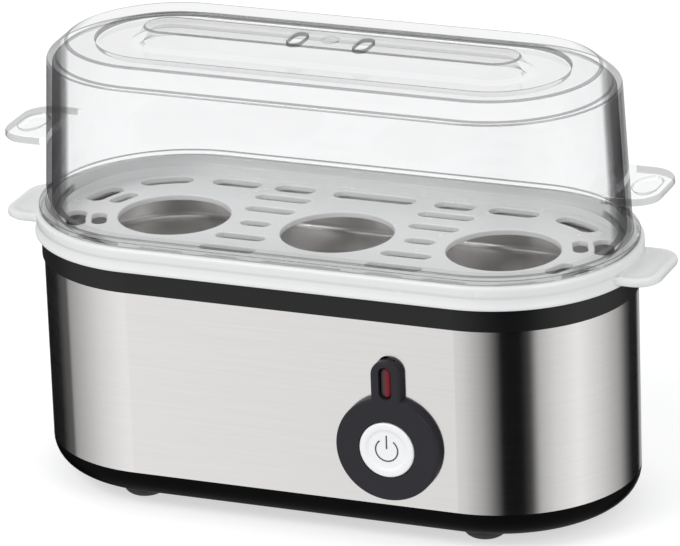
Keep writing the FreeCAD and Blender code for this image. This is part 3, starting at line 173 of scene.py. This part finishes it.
def solved_mesh(holder):
    """New mesh of an object with its modifiers, or a curve's thickness, worked in."""
    evaluated = holder.evaluated_get(bpy.context.evaluated_depsgraph_get())
    return bpy.data.meshes.new_from_object(evaluated)


def combine(piece, tool, operation):
    """Boolean of two closed pieces; the tool is used up."""
    piece.modifiers.clear()
    step = piece.modifiers.new("join", "BOOLEAN")
    step.operation, step.solver, step.object = operation, "MANIFOLD", tool
    bpy.context.view_layer.update()
    result = solved_mesh(piece)
    piece.modifiers.clear()
    piece.data = result
    bpy.data.objects.remove(tool)
    tidy_mesh(piece, CREASE)


def paint(piece, material):
    piece.data.materials.clear()
    piece.data.materials.append(material)
    for face in piece.data.polygons:
        face.material_index = 0


# ---------------------------------------------------------------- node helpers

def new_material(name):
    """Empty node tree with an output."""
    material = bpy.data.materials.new(name)
    material.use_nodes = True
    tree = material.node_tree
    tree.nodes.clear()
    return material, tree, tree.nodes.new("ShaderNodeOutputMaterial")


def add(tree, kind, inputs=None, **settings):
    """A node with its settings and its inputs, which are plain values or other nodes' sockets."""
    node = tree.nodes.new(kind)
    for key, value in settings.items():
        setattr(node, key, value)
    for key, value in (inputs or {}).items():
        if isinstance(value, bpy.types.NodeSocket):
            tree.links.new(value, node.inputs[key])
        else:
            node.inputs[key].default_value = value
    return node


def maths(tree, operation, *values):
    """Result of a Math node; a third value is the tolerance of COMPARE."""
    return add(tree, "ShaderNodeMath", dict(enumerate(values)), operation=operation).outputs[0]


def product(tree, first, *others):
    for other in others:
        first = maths(tree, "MULTIPLY", first, other)
    return first


def highest(tree, first, *others):
    for other in others:
        first = maths(tree, "MAXIMUM", first, other)
    return first


def over(tree, length, limit):
    """1 where a length in metres is above a limit in millimetres, else 0."""
    return maths(tree, "GREATER_THAN", length, limit * MM)


def under(tree, length, limit):
    return maths(tree, "LESS_THAN", length, limit * MM)


def between(tree, length, low, high):
    return maths(tree, "COMPARE", length, (low + high) / 2 * MM, (high - low) / 2 * MM)


def scaled(tree, value, start, stop, low=0.0, high=1.0):
    """Value carried from start..stop to low..high and held at both ends."""
    return add(tree, "ShaderNodeMapRange", {"Value": value, "From Min": start, "From Max": stop,
                                            "To Min": low, "To Max": high}).outputs[0]


def tinted(tree, factor, base, other):
    """Colour that goes from base to other, each a colour or a socket."""
    mix = tree.nodes.new("ShaderNodeMix")
    mix.data_type = "RGBA"
    tree.links.new(factor, mix.inputs[0])
    for socket, colour in ((mix.inputs[6], base), (mix.inputs[7], other)):
        if isinstance(colour, bpy.types.NodeSocket):
            tree.links.new(colour, socket)
        else:
            socket.default_value = (*colour, 1)
    return mix.outputs[2]


def noise(tree, place, scale, detail=2.0):
    return add(tree, "ShaderNodeTexNoise", {"Vector": place, "Scale": scale, "Detail": detail}).outputs[0]


def blended(tree, factor, first, second):
    """Mix of two shaders."""
    return add(tree, "ShaderNodeMixShader", {0: factor, 1: first, 2: second}).outputs[0]


def grey(tone):
    return (tone, tone, tone)


# ---------------------------------------------------------------- materials

def finish(name, colour, other, roughness, scale, bump, **sockets):
    """Principled surface whose colour, gloss and relief vary with a noise; roughness is a pair."""
    material, tree, output = new_material(name)
    place = add(tree, "ShaderNodeTexCoord").outputs["Object"]
    fine = noise(tree, place, scale, 4.0)
    broad = noise(tree, place, 18.0)
    relief = add(tree, "ShaderNodeBump", {"Height": fine, "Strength": 0.5, "Distance": bump * MM})
    shader = add(tree, "ShaderNodeBsdfPrincipled",
                 {"Base Color": tinted(tree, broad, colour, other), "Normal": relief.outputs[0],
                  "Roughness": scaled(tree, fine, 0.25, 0.75, *roughness)})
    for key, value in sockets.items():
        shader.inputs[key.replace("_", " ")].default_value = value
    tree.links.new(shader.outputs[0], output.inputs["Surface"])
    return material


def brushed_steel():
    """Fine lines along the band: noise squeezed upright, and a highlight stretched across them."""
    material, tree, output = new_material("brushed_steel")
    place = add(tree, "ShaderNodeTexCoord").outputs["Object"]

    def brushing(fineness, detail):
        squeezed = add(tree, "ShaderNodeMapping", {"Vector": place, "Scale": (30.0, 30.0, fineness)})
        return noise(tree, squeezed.outputs[0], 1.0, detail)

    grain, streak = brushing(2600.0, 4.0), brushing(2200.0, 3.0)
    tone = tinted(tree, scaled(tree, streak, 0.3, 0.7), (0.785, 0.77, 0.76), (0.81, 0.795, 0.785))
    relief = add(tree, "ShaderNodeBump", {"Height": grain, "Strength": 0.1, "Distance": 0.005 * MM})
    around = add(tree, "ShaderNodeTangent", direction_type="RADIAL", axis="Z")
    shader = add(tree, "ShaderNodeBsdfPrincipled",
                 {"Base Color": tone, "Roughness": scaled(tree, grain, 0.3, 0.7, 0.12, 0.17), "Metallic": 1.0,
                  "Normal": relief.outputs[0], "Tangent": around.outputs[0], "Anisotropic": 0.6,
                  "Anisotropic Rotation": 0.25})
    tree.links.new(shader.outputs[0], output.inputs["Surface"])
    return material


def clear_plastic():
    """Thin clear walls with painted shade: grey where an upright wall turns away, a grey outline, grey
    recess, vent and grip walls, and a painted grey line at each moulded edge.
    """
    material, tree, output = new_material("clear_plastic")
    place = add(tree, "ShaderNodeTexCoord").outputs["Object"]
    x, y, z = add(tree, "ShaderNodeSeparateXYZ", {0: place}).outputs
    face = add(tree, "ShaderNodeNewGeometry")
    slope = add(tree, "ShaderNodeSeparateXYZ", {0: face.outputs["Normal"]}).outputs[2]
    outside = maths(tree, "SUBTRACT", 1.0, face.outputs["Backfacing"])
    upright = scaled(tree, maths(tree, "ABSOLUTE", slope), 0.35, 0.75, 1.0, 0.0)
    facing = add(tree, "ShaderNodeLayerWeight", {"Blend": 0.5}).outputs["Facing"]

    # distance from the middle line, which is the same all round the common plan
    end = maths(tree, "MAXIMUM", maths(tree, "SUBTRACT", maths(tree, "ABSOLUTE", x), RUN * MM), 0.0)
    reach = maths(tree, "SQRT", maths(tree, "ADD", product(tree, end, end), product(tree, y, y)))

    # painted shade: upright walls turn grey as they turn away from the viewer, standing in for light bent by
    # the clear walls
    grazing_shade = product(tree, upright, scaled(tree, facing, 0.52, 0.58))
    # painted shade: a grey outline where the surface turns edge-on
    rim = scaled(tree, facing, 0.78, 0.92)
    top = over(tree, z, RECESS + 0.3)
    ridge = product(tree, top, under(tree, reach, 12.0))
    # painted shade: grey on the upright outer walls of the top, on the vent walls and on the grip walls
    walls = product(tree, upright, outside, top, over(tree, reach, 20.0))
    vents = product(tree, upright, over(tree, z, CHANNEL - 0.4), under(tree, reach, 5.9))
    grips = product(tree, upright, over(tree, end, 38.8), between(tree, z, *GRIP_SPAN))
    # painted shade: a grey line along the shoulder and along each listed edge
    lines = between(tree, z, SHOULDER - 0.3, SHOULDER + 0.3)
    for distance, half, low, high in SHADED_EDGES:
        near = between(tree, reach, distance - half, distance + half)
        lines = highest(tree, lines, product(tree, near, between(tree, z, low, high)))

    clear = (0.972, 0.972, 0.973)
    for where, tint in ((grazing_shade, (0.50, 0.50, 0.505)), (rim, grey(0.60)), (ridge, grey(0.93)),
                        (walls, grey(0.40)), (vents, grey(0.38)), (grips, grey(0.62)),
                        (lines, (0.48, 0.48, 0.485))):
        clear = tinted(tree, where, clear, tint)

    waves = noise(tree, place, 35.0, 1.0)
    relief = add(tree, "ShaderNodeBump", {"Height": waves, "Strength": 0.1, "Distance": 0.05 * MM}).outputs[0]
    window = add(tree, "ShaderNodeBsdfTransparent", {"Color": clear})
    shine = add(tree, "ShaderNodeBsdfGlossy", {"Roughness": scaled(tree, waves, 0.0, 1.0, 0.01, 0.05),
                                               "Normal": relief})
    mirror = add(tree, "ShaderNodeFresnel", {"IOR": 1.55, "Normal": relief}).outputs[0]
    dull = maths(tree, "SUBTRACT", 1.0, product(tree, ridge, 0.9))     # the ridge mirrors next to nothing
    either = blended(tree, product(tree, mirror, outside, dull), window.outputs[0], shine.outputs[0])
    tree.links.new(either, output.inputs["Surface"])
    return material


def red_lens(middle):
    """Dark red window whose left side is painted darker grey-brown, a painted reflection."""
    material, tree, output = new_material("red_lens")
    place = add(tree, "ShaderNodeTexCoord").outputs["Object"]
    x = add(tree, "ShaderNodeSeparateXYZ", {0: place}).outputs[0]
    # painted reflection: the left side of the lens is tinted dark grey-brown, the right side stays red
    side = scaled(tree, x, (middle - 0.7) * MM, (middle + 0.5) * MM)
    gloss = scaled(tree, noise(tree, place, 500.0), 0.0, 1.0, 0.10, 0.16)
    tone = tinted(tree, side, (0.060, 0.042, 0.050), (0.22, 0.022, 0.034))
    shader = add(tree, "ShaderNodeBsdfPrincipled",
                 {"Base Color": tone, "Roughness": gloss, "Specular IOR Level": 0.2})
    tree.links.new(shader.outputs[0], output.inputs["Surface"])
    return material


BLACK = finish("black_plastic", grey(0.003), grey(0.005), (0.26, 0.34), 1500, 0.01, Specular_IOR_Level=0.02)
COLLAR = finish("collar_plastic", (0.005, 0.005, 0.006), (0.008, 0.008, 0.009), (0.28, 0.36), 1500, 0.01,
                Specular_IOR_Level=0.36)
BEZEL = finish("bezel_plastic", (0.030, 0.029, 0.034), (0.035, 0.034, 0.039), (0.36, 0.46), 1800, 0.01,
               Specular_IOR_Level=0.10)
RUBBER = finish("rubber", grey(0.020), (0.032, 0.031, 0.030), (0.65, 0.85), 1200, 0.05)
TRAY = finish("tray_white", (0.83, 0.83, 0.825), (0.86, 0.86, 0.855), (0.24, 0.28), 120, 0.001)
BUTTON = finish("button_white", grey(0.98), grey(0.99), (0.28, 0.34), 200, 0.001)
INK = finish("symbol_grey", (0.055, 0.05, 0.05), (0.08, 0.075, 0.07), (0.45, 0.60), 900, 0.002)
PAN = finish("pan_metal", (0.62, 0.61, 0.60), (0.70, 0.69, 0.68), (0.28, 0.42), 300, 0.03, Metallic=1.0)
PLATED = finish("plated_steel", (0.60, 0.58, 0.54), (0.70, 0.68, 0.64), (0.25, 0.45), 600, 0.03, Metallic=1.0)
SHEATH = finish("element_sheath", (0.34, 0.33, 0.31), (0.42, 0.40, 0.37), (0.40, 0.60), 900, 0.04,
                Metallic=1.0)
BRASS = finish("brass", (0.66, 0.48, 0.20), (0.74, 0.56, 0.27), (0.22, 0.38), 600, 0.02, Metallic=1.0)
SILICONE = finish("silicone", (0.62, 0.60, 0.56), (0.68, 0.66, 0.62), (0.50, 0.62), 700, 0.03)
PORCELAIN = finish("heat_proof_plastic", (0.60, 0.57, 0.50), (0.68, 0.65, 0.58), (0.42, 0.58), 800, 0.04)
LAMP = finish("lamp_glass", (0.80, 0.62, 0.52), (0.86, 0.70, 0.60), (0.04, 0.10), 400, 0.01,
              Coat_Weight=0.5)
BROWN = finish("wire_brown", (0.16, 0.07, 0.03), (0.20, 0.09, 0.045), (0.38, 0.50), 900, 0.02)
BLUE = finish("wire_blue", (0.03, 0.10, 0.40), (0.04, 0.13, 0.47), (0.38, 0.50), 900, 0.02)
GREEN = finish("wire_green", (0.10, 0.34, 0.06), (0.50, 0.52, 0.06), (0.38, 0.50), 900, 0.02)

CAD_FINISH = {
    "base_housing": BLACK, "upper_collar": COLLAR, "control_bezel": BEZEL, "cord_gland": BLACK,
    "gland_nut": BLACK, "cord_clamp": BLACK, "switch_bracket": BLACK, "power_switch": PORCELAIN,
    "steel_sleeve": brushed_steel(), "heating_pan": PAN, "pan_seal": SILICONE,
    "heating_element": SHEATH, "element_terminals": PLATED, "thermostat": PLATED,
    "thermostat_nuts": PLATED, "shield_nuts": PLATED, "shield_spacers": PLATED, "heat_shield": PLATED,
    "thermal_fuse": PLATED, "fuse_clip": PLATED, "earth_tag": BRASS, "body_screws": PLATED,
    "bezel_screws": PLATED, "clamp_screws": PLATED, "block_screws": PLATED, "terminal_screws": BRASS,
    "terminal_block": PORCELAIN, "indicator_lamp": LAMP, "button_spring": PLATED,
    "live_wire": BROWN, "switched_wire": BROWN, "fuse_wire": BROWN,
    "neutral_wire": BLUE, "element_wire": BLUE, "earth_wire": GREEN,
}
for node_name, node_finish in CAD_FINISH.items():
    for place in nodes[node_name].material_slots:
        place.material = node_finish


# ---------------------------------------------------------------- lid

# heights; the channel is the hollow under the ridge
RIDGE, BORDER, RECESS, CHANNEL = 144.0, 140.6, 138.6, 142.2
SHOULDER, FLANGE = 135.1, 88.3
LID_SECTION = [
    # outside, from the ridge's top down to the lip: distance, height, rounding
    (4.5, RIDGE, 0), (7.4, RIDGE, 0.9), (10.6, RECESS, 2.6), (22.6, RECESS, 0.7), (22.6, BORDER, 0.7),
    (31.5, BORDER, 0.8), (37.75, SHOULDER, 0.8), (40.2, FLANGE, 0.6), (42.5, FLANGE, 0.6), (42.5, 86.5, 0.4),
    (37.1, 86.5, 0.2), (37.1, 85.0, 0.4),
    # inside, back up to the channel under the ridge
    (35.6, 85.0, 0.4), (35.6, FLANGE, 0.5), (38.4, FLANGE, 0.5), (36.04, 133.9, 0.8), (32.99, 136.8, 1.2),
    (9.0, 136.8, 2.2), (6.0, CHANNEL, 0.9), (4.5, CHANNEL, 0),
]
# edges where the material paints a grey line of shade: distance, half width, lowest and highest height
SHADED_EDGES = [(22.6, 0.30, 140.2, 141.0), (31.5, 0.60, 140.0, 141.0), (7.4, 0.35, 143.0, 145.0),
               (42.5, 0.30, 88.0, 89.0), (40.3, 0.25, 88.0, 89.0)]

GRIP_ROOT, GRIP_HALF, GRIP_TIP, GRIP_CORNER, GRIP_FLARE = 37.7, 14.5, 106.5, 9.0, 1.5
GRIP_SPAN = (105.5, 108.5)                                     # heights just below and above a grip
# round edge of a grip: height, inset
GRIP_EDGE = [(105.6, 0.8), (105.75, 0.3), (106.2, 0.0), (107.7, 0.0), (108.15, 0.3), (108.3, 0.8)]
OVAL_X, OVAL_HALF_X, OVAL_HALF_Y = 100.2, 4.6, 8.0             # oval dish in each grip
OVAL_WALL = [(108.3, 0.5), (108.2, 0.1), (107.9, -0.2), (107.3, -0.5), (106.95, -1.0), (106.85, -1.8)]

VENT_X, VENT_REACH = 10.7, 3.1
VENT_LEVELS = [(148.0, 3.0), (144.2, 3.0), (143.5, 2.3), (141.0, 2.3)]      # height, radius
GATE_LEVELS = [(146.0, 3.1), (144.1, 3.1), (143.4, 2.5)]


def grip(side):
    """Grip tab with rounded edges and an oval dish in its top."""
    def rim(z, inset):
        return tab_outline(side, z, GRIP_ROOT, GRIP_HALF - inset, GRIP_TIP - inset, GRIP_CORNER - inset,
                           GRIP_FLARE)

    def oval(z, grow):
        loop = []
        for x, y, _ in rim(z, 0):
            angle = math.atan2(y / OVAL_HALF_Y, (side * x - OVAL_X) / OVAL_HALF_X)
            loop.append((side * (OVAL_X + (OVAL_HALF_X + grow) * math.cos(angle)),
                         (OVAL_HALF_Y + grow) * math.sin(angle), z))
        return loop

    return skin([rim(*level) for level in GRIP_EDGE] + [oval(*level) for level in OVAL_WALL])


def cut_down(lid, x, reach, levels, steps):
    """Sinks a capsule-shaped opening, long in Y, into the lid from above."""
    loops = [[(px, py, z) for px, py in capsule((x, 0.0), reach, radius, steps)] for z, radius in levels]
    combine(lid, make_piece("opening_tool", [skin(loops)], None), "DIFFERENCE")


def make_lid():
    """Cover turned along the common plan, with grips joined on, two vents and a gate mark cut in."""
    shell = skin([stadium(*point) for point in rounded(LID_SECTION)])
    lid = make_piece("lid_cover", [shell], "cover", ["lid"])
    for side in (1, -1):
        combine(lid, make_piece("grip_tool", [grip(side)], None), "UNION")
    for side in (1, -1):
        cut_down(lid, side * VENT_X, VENT_REACH, VENT_LEVELS, 16)
    cut_down(lid, 0.0, 0.0, GATE_LEVELS, 24)
    paint(lid, clear_plastic())


# ---------------------------------------------------------------- egg tray

RIM_SECTION = [
    # distance, height, rounding: a flange inside, a lip that flares out, a waist, and the seat of the cover
    (36.7, 78.4, 0.2), (38.6, 78.4, 0.3), (38.6, 79.1, 0.3), (44.0, 79.1, 0.3), (44.0, 79.8, 0.3),
    (43.35, 81.3, 0.8), (43.2, 82.6, 0.3), (43.6, 83.4, 0.4), (43.6, 86.5, 1.4), (41.0, 86.5, 0.3),
    (38.4, 84.4, 0.8), (37.5, 81.6, 0.3), (36.7, 81.6, 0.2),
]
# raised round edge and shallow dish of each tab: height, inset
TAB_EDGE = [(79.9, 1.2), (79.98, 0.7), (80.3, 0.2), (80.8, 0.0), (81.7, 0.0), (82.2, 0.2), (82.52, 0.7),
            (82.6, 1.2)]
TAB_DISH = [(82.6, -0.6), (82.5, -0.1), (82.2, 0.5), (81.85, 1.4), (81.65, 2.6), (81.6, 4.0)]
TAB_STEPS = 16

PLATE_RADIUS, PLATE_LEVEL, PLATE_HALF, PLATE_ROUND = 37.2, 81.0, 1.0, 0.45
SEAT_X, SEAT_RADIUS, SEAT_STEPS = 54.0, 17.5, 72
BRIDGE_X = 27.0                                    # the plate between two seats
BRIDGE_SLOTS = [(0, 4.8), (12, 8.0), (-12, 8.0), (22.5, 9.0), (-22.5, 9.0)]     # place in Y, half length
NARROW, WIDE = 2.3, 3.0                            # half widths of slots
OUTER_ROW = 31.4                                   # distance of the outer slots from the middle line
OUTER_SLOTS = [(26.5, 6.5), (46.0, 8.0)]           # place in X, half length
MIDDLE_SLOT = 13.5
ROUND_SLOTS = [(46, 76), (8, 33), (-33, -8), (-76, -46)]    # from and to, in degrees from the long axis
SLANTED_X, SLANTED_Y, SLANTED_HALF, SLANT = 75.2, 9.5, 5.2, -68


def tray_tab(side):
    """Grip tab with a raised round edge and a shallow dish."""
    def rim(z, inset):
        return tab_outline(side, z, 40.0, 14.2 - inset, 106.7 - inset, 7.6 - inset, 2.5, TAB_STEPS)

    def dish(z, inset):
        return tab_outline(side, z, 43.0, 12.0 - inset, 104.4 - inset, 5.6 - inset * 0.6, 1.0, TAB_STEPS)

    return skin([rim(*level) for level in TAB_EDGE] + [dish(*level) for level in TAB_DISH])


def oblong(x, y, half_length, half_width, turn=0.0, steps=8):
    """Slot with half-round ends; turn is its direction in degrees from the long axis."""
    spin = Matrix.Rotation(math.radians(turn), 2)
    reach = half_length - half_width
    flat = arc((reach, 0), half_width, -90, 90, steps) + arc((-reach, 0), half_width, 90, 270, steps)
    return [Vector((x, y)) + spin @ Vector(point) for point in flat]


def arc_slot(side, start, stop, steps=12, cap_steps=8):
    """Curved slot around one end, with round ends; angles from the long axis."""
    margin = math.degrees(WIDE / OUTER_ROW)
    low, high = start + margin, stop - margin
    first, last = arc((0, 0), OUTER_ROW, low, high, 1)
    points = arc((0, 0), OUTER_ROW + WIDE, low, high, steps)
    points += arc(last, WIDE, high, high + 180, cap_steps)[1:-1]
    points += arc((0, 0), OUTER_ROW - WIDE, high, low, steps)
    points += arc(first, WIDE, low + 180, low + 360, cap_steps)[1:-1]
    return [Vector((side * (RUN + x), y)) for x, y in points]


def tray_holes():
    """Outlines of the three egg seats and of all the steam slots."""
    holes = [[Vector(point) for point in circle((x, 0), SEAT_RADIUS, SEAT_STEPS)]
             for x in (-SEAT_X, 0.0, SEAT_X)]
    for sx in (1, -1):
        for y, half_length in BRIDGE_SLOTS:
            holes.append(oblong(BRIDGE_X * sx, y, half_length, NARROW))
        for start, stop in ROUND_SLOTS:
            holes.append(arc_slot(sx, start, stop))
        for sy in (1, -1):
            for x, half_length in OUTER_SLOTS:
                holes.append(oblong(x * sx, OUTER_ROW * sy, half_length, WIDE))
            holes.append(oblong(SLANTED_X * sx, SLANTED_Y * sy, SLANTED_HALF, NARROW, SLANT * sx * sy))
    for sy in (1, -1):
        holes.append(oblong(0, OUTER_ROW * sy, MIDDLE_SLOT, WIDE))
    return holes


def slotted_plate():
    """Flat plate with rounded edges at every slot, as verts and faces."""
    curve = bpy.data.curves.new("plate", "CURVE")
    curve.dimensions, curve.fill_mode = "2D", "BOTH"
    edge = PLATE_ROUND * MM
    curve.extrude, curve.offset = PLATE_HALF * MM - edge, -edge
    curve.bevel_depth, curve.bevel_resolution = edge, 2
    for outline in [[Vector(point[:2]) for point in stadium(PLATE_RADIUS, 0)]] + tray_holes():
        spline = curve.splines.new("POLY")
        spline.points.add(len(outline) - 1)
        for point, spot in zip(spline.points, outline):
            point.co = (spot.x * MM, spot.y * MM, 0, 1)
        spline.use_cyclic_u = True
    holder = bpy.data.objects.new("plate", curve)
    bpy.context.scene.collection.objects.link(holder)
    bpy.context.view_layer.update()
    mesh = solved_mesh(holder)
    verts = [(v.co.x, v.co.y, v.co.z + PLATE_LEVEL * MM) for v in mesh.vertices]
    faces = [tuple(p.vertices) for p in mesh.polygons]
    bpy.data.objects.remove(holder)
    bpy.data.meshes.remove(mesh)
    return verts, faces


def make_tray():
    rim = skin([stadium(*point) for point in rounded(RIM_SECTION, closed=True)], ring=True)
    skins = [rim, tray_tab(1), tray_tab(-1), slotted_plate()]
    tray = make_piece("tray_moulding", skins, "tray", ["egg_tray"])
    paint(tray, TRAY)


# ---------------------------------------------------------------- button, lens, feet

BUTTON_X, BUTTON_Z = 31.8, 31.7
WINDOW_Z = 53.0
# radius, place in Y, rounding: dished front, rim, hollow back, stem
BUTTON_SECTION = [
    (0.5, -44.6, 0), (6.0, -44.65, 0.4), (6.7, -45.05, 0.3), (8.75, -45.1, 0.8), (8.75, -40.1, 0.3),
    (7.55, -40.1, 0.2), (7.55, -43.1, 0.5), (2.0, -43.1, 0.3), (2.0, -29.0, 0.3), (0.5, -29.0, 0),
]
SIGN_FACES = (-44.5, -44.72)                       # back and front of the print, in Y
FOOT_X, FOOT_Y = 56, 26.5
FOOT_SECTION = [(0.5, 0.0, 0), (4.6, 0.0, 0.8), (6.6, 1.3, 1.4), (7.25, 3.4, 0.8), (7.3, 4.8, 0.2),
                (0.5, 4.8, 0)]
LENS_REACH = 3.1
# radius and place in Y, from the window's back to its domed front
LENS_LEVELS = [(1.8, -41.8), (1.8, -43.0), (1.7, -43.35), (1.4, -43.65), (0.9, -43.83), (0.3, -43.9)]


def make_button():
    """Cap with a round rim around a shallow dish, hollow behind, on its stem."""
    loops = [[(x, y, z) for x, z in circle((BUTTON_X, BUTTON_Z), radius, 64)]
             for radius, y in rounded(BUTTON_SECTION)]
    cap = make_piece("button_moulding", [skin(loops)], "button", ["button_cap"])
    paint(cap, BUTTON)


def make_symbol():
    """Generic power sign: an open ring and a bar, as a thin print on the button's dish."""
    middle, radius, half, gap = (BUTTON_X, BUTTON_Z), 3.55, 0.2, 38
    start, stop = 90 + gap, 450 - gap
    ring = arc(middle, radius + half, start, stop, 40) + arc(middle, radius - half, start, stop, 40)[::-1]
    left, right, low, high = BUTTON_X - half, BUTTON_X + half, BUTTON_Z + 0.4, BUTTON_Z + 4.7
    bar = [(left, low), (right, low), (right, high), (left, high)]
    skins = [skin([[(x, y, z) for x, z in outline] for y in SIGN_FACES]) for outline in (ring, bar)]
    paint(make_piece("power_sign", skins, "button"), INK)


def make_feet():
    """Four domed pads, rounded towards the table."""
    skins = []
    for sx in (1, -1):
        for sy in (1, -1):
            skins.append(skin([[(x, y, z) for x, y in circle((sx * FOOT_X, sy * FOOT_Y), radius, 48)]
                               for radius, z in rounded(FOOT_SECTION)]))
    feet = make_piece("foot_pads", skins, "housing", ["rubber_feet"])
    paint(feet, RUBBER)


def make_lens():
    """Domed window with half-round ends."""
    loops = [[(x, y, z) for x, z in capsule((BUTTON_X, WINDOW_Z), LENS_REACH, radius, 12)]
             for radius, y in LENS_LEVELS]
    lens = make_piece("lens_window", [skin(loops)], "housing", ["indicator_lens"], smooth=60)
    paint(lens, red_lens(BUTTON_X))


make_lid()
make_tray()
make_button()
make_symbol()
make_feet()
make_lens()


# ---------------------------------------------------------------- floor, light, camera

# brightness of the studio as metal and plastic mirror it, by compass bearing in degrees
FRONT = [(-180, 0.36), (-160, 0.58), (-142, 0.80), (-118, 1.0), (-112.4, 0.90), (-102, 0.69), (-89, 0.45),
         (-77.5, 0.14), (-71.5, 0.005), (-55, 0.005), (-47, 0.06), (-40, 0.53), (-26, 0.79), (-4, 1.0),
         (20, 0.74), (44, 0.40)]
OPEN_BACK = [(70, 0.62), (100, 0.80), (130, 0.62), (160, 0.42)]
SCREENED_BACK = [(56, 0.10), (65, 0.006), (84, 0.006), (92, 0.42), (118, 0.42), (126, 0.006), (160, 0.006),
                 (172, 0.09)]


def bearing_ramp(tree, turn, stops):
    """Grey by compass bearing in degrees, from (bearing, brightness) pairs."""
    bands = add(tree, "ShaderNodeValToRGB", {"Fac": turn})
    elements = bands.color_ramp.elements
    while len(elements) < len(stops):
        elements.new(0.5)
    for element, (angle, tone) in zip(elements, stops):
        element.position, element.color = (angle + 180) / 360, (*grey(tone), 1)
    return bands.outputs[0]


def make_world():
    """White to the camera; mirrors see a pale studio, one dark screen in front and two low ones behind."""
    world = bpy.data.worlds.new("studio")
    bpy.context.scene.world = world
    world.use_nodes = True
    tree = world.node_tree
    tree.nodes.clear()
    output = tree.nodes.new("ShaderNodeOutputWorld")
    where = add(tree, "ShaderNodeTexCoord")
    x, y, z = add(tree, "ShaderNodeSeparateXYZ", {0: where.outputs["Generated"]}).outputs
    turn = scaled(tree, maths(tree, "ARCTAN2", y, x), -math.pi, math.pi)
    low_down = scaled(tree, z, -0.28, -0.31)
    around = tinted(tree, low_down, bearing_ramp(tree, turn, FRONT + OPEN_BACK),
                    bearing_ramp(tree, turn, FRONT + SCREENED_BACK))
    steep = scaled(tree, maths(tree, "ABSOLUTE", z), 0.72, 0.92)

    def sky(colour):
        return add(tree, "ShaderNodeBackground", {"Color": colour}).outputs[0]

    studio = sky(tinted(tree, steep, around, grey(0.95)))
    path = add(tree, "ShaderNodeLightPath").outputs
    mirrored = maths(tree, "MAXIMUM", path["Is Glossy Ray"], path["Is Transmission Ray"])
    inner = blended(tree, mirrored, sky((0.72, 0.73, 0.74, 1)), studio)
    outer = blended(tree, path["Is Camera Ray"], inner, sky((1, 1, 1, 1)))
    tree.links.new(outer, output.inputs[0])


def make_floor():
    """Pale floor that takes the shadow and isn't seen in mirrors."""
    mesh = bpy.data.meshes.new("floor")
    half = 3.0
    corners = [(-half, -half, 0), (half, -half, 0), (half, half, 0), (-half, half, 0)]
    mesh.from_pydata(corners, [], [(0, 1, 2, 3)])
    floor = bpy.data.objects.new("floor", mesh)
    bpy.context.scene.collection.objects.link(floor)
    material, tree, output = new_material("floor_white")
    place = add(tree, "ShaderNodeTexCoord").outputs["Object"]
    tone = scaled(tree, noise(tree, place, 60.0), 0.0, 1.0, 0.50, 0.53)
    matte = add(tree, "ShaderNodeBsdfDiffuse", {"Color": tone})
    glow = add(tree, "ShaderNodeEmission", {"Strength": 0.60})
    both = add(tree, "ShaderNodeAddShader", {0: matte.outputs[0], 1: glow.outputs[0]})
    tree.links.new(both.outputs[0], output.inputs["Surface"])
    mesh.materials.append(material)
    floor.visible_glossy = False
    floor.visible_transmission = False
    floor.visible_diffuse = False


def make_lamp(name, place, size, watts):
    """Round lamp that looks at the middle of the object."""
    lamp = bpy.data.lights.new(name, "AREA")
    lamp.shape, lamp.size, lamp.energy = "DISK", size, watts
    holder = bpy.data.objects.new(name, lamp)
    holder.location = place
    holder.rotation_mode = "QUATERNION"
    holder.rotation_quaternion = (Vector((0, 0, 0.08)) - Vector(place)).to_track_quat("-Z", "Y")
    bpy.context.scene.collection.objects.link(holder)


def make_camera():
    """Long lens from the right and above, a little rolled."""
    back = Vector((0.3552, -0.8638, 0.3572)).normalized()      # from the object to the camera
    level = Vector((0.9249, 0.3803, 0.0)).normalized()
    aim, distance, roll = Vector((0, 0, 0.0724)), 1.7616, math.radians(2.06)
    upright = back.cross(level)
    right = level * math.cos(roll) - upright * math.sin(roll)
    up = upright * math.cos(roll) + level * math.sin(roll)
    data = bpy.data.cameras.new("camera")
    data.lens, data.sensor_width = 305.2, 36.0
    data.shift_x, data.shift_y = 0.0024, -0.0173
    data.clip_start, data.clip_end = 0.05, 20.0
    camera = bpy.data.objects.new("camera", data)
    turn = Matrix((right, up, back)).transposed()
    camera.matrix_world = Matrix.Translation(aim + back * distance) @ turn.to_4x4()
    bpy.context.scene.collection.objects.link(camera)
    bpy.context.scene.camera = camera


make_world()
make_floor()
make_lamp("key", (-0.7, -1.0, 1.3), 0.9, 9.0)
make_lamp("fill", (1.1, -0.6, 0.9), 0.8, 3.0)
make_camera()
bpy.context.scene.view_settings.view_transform = "Standard"
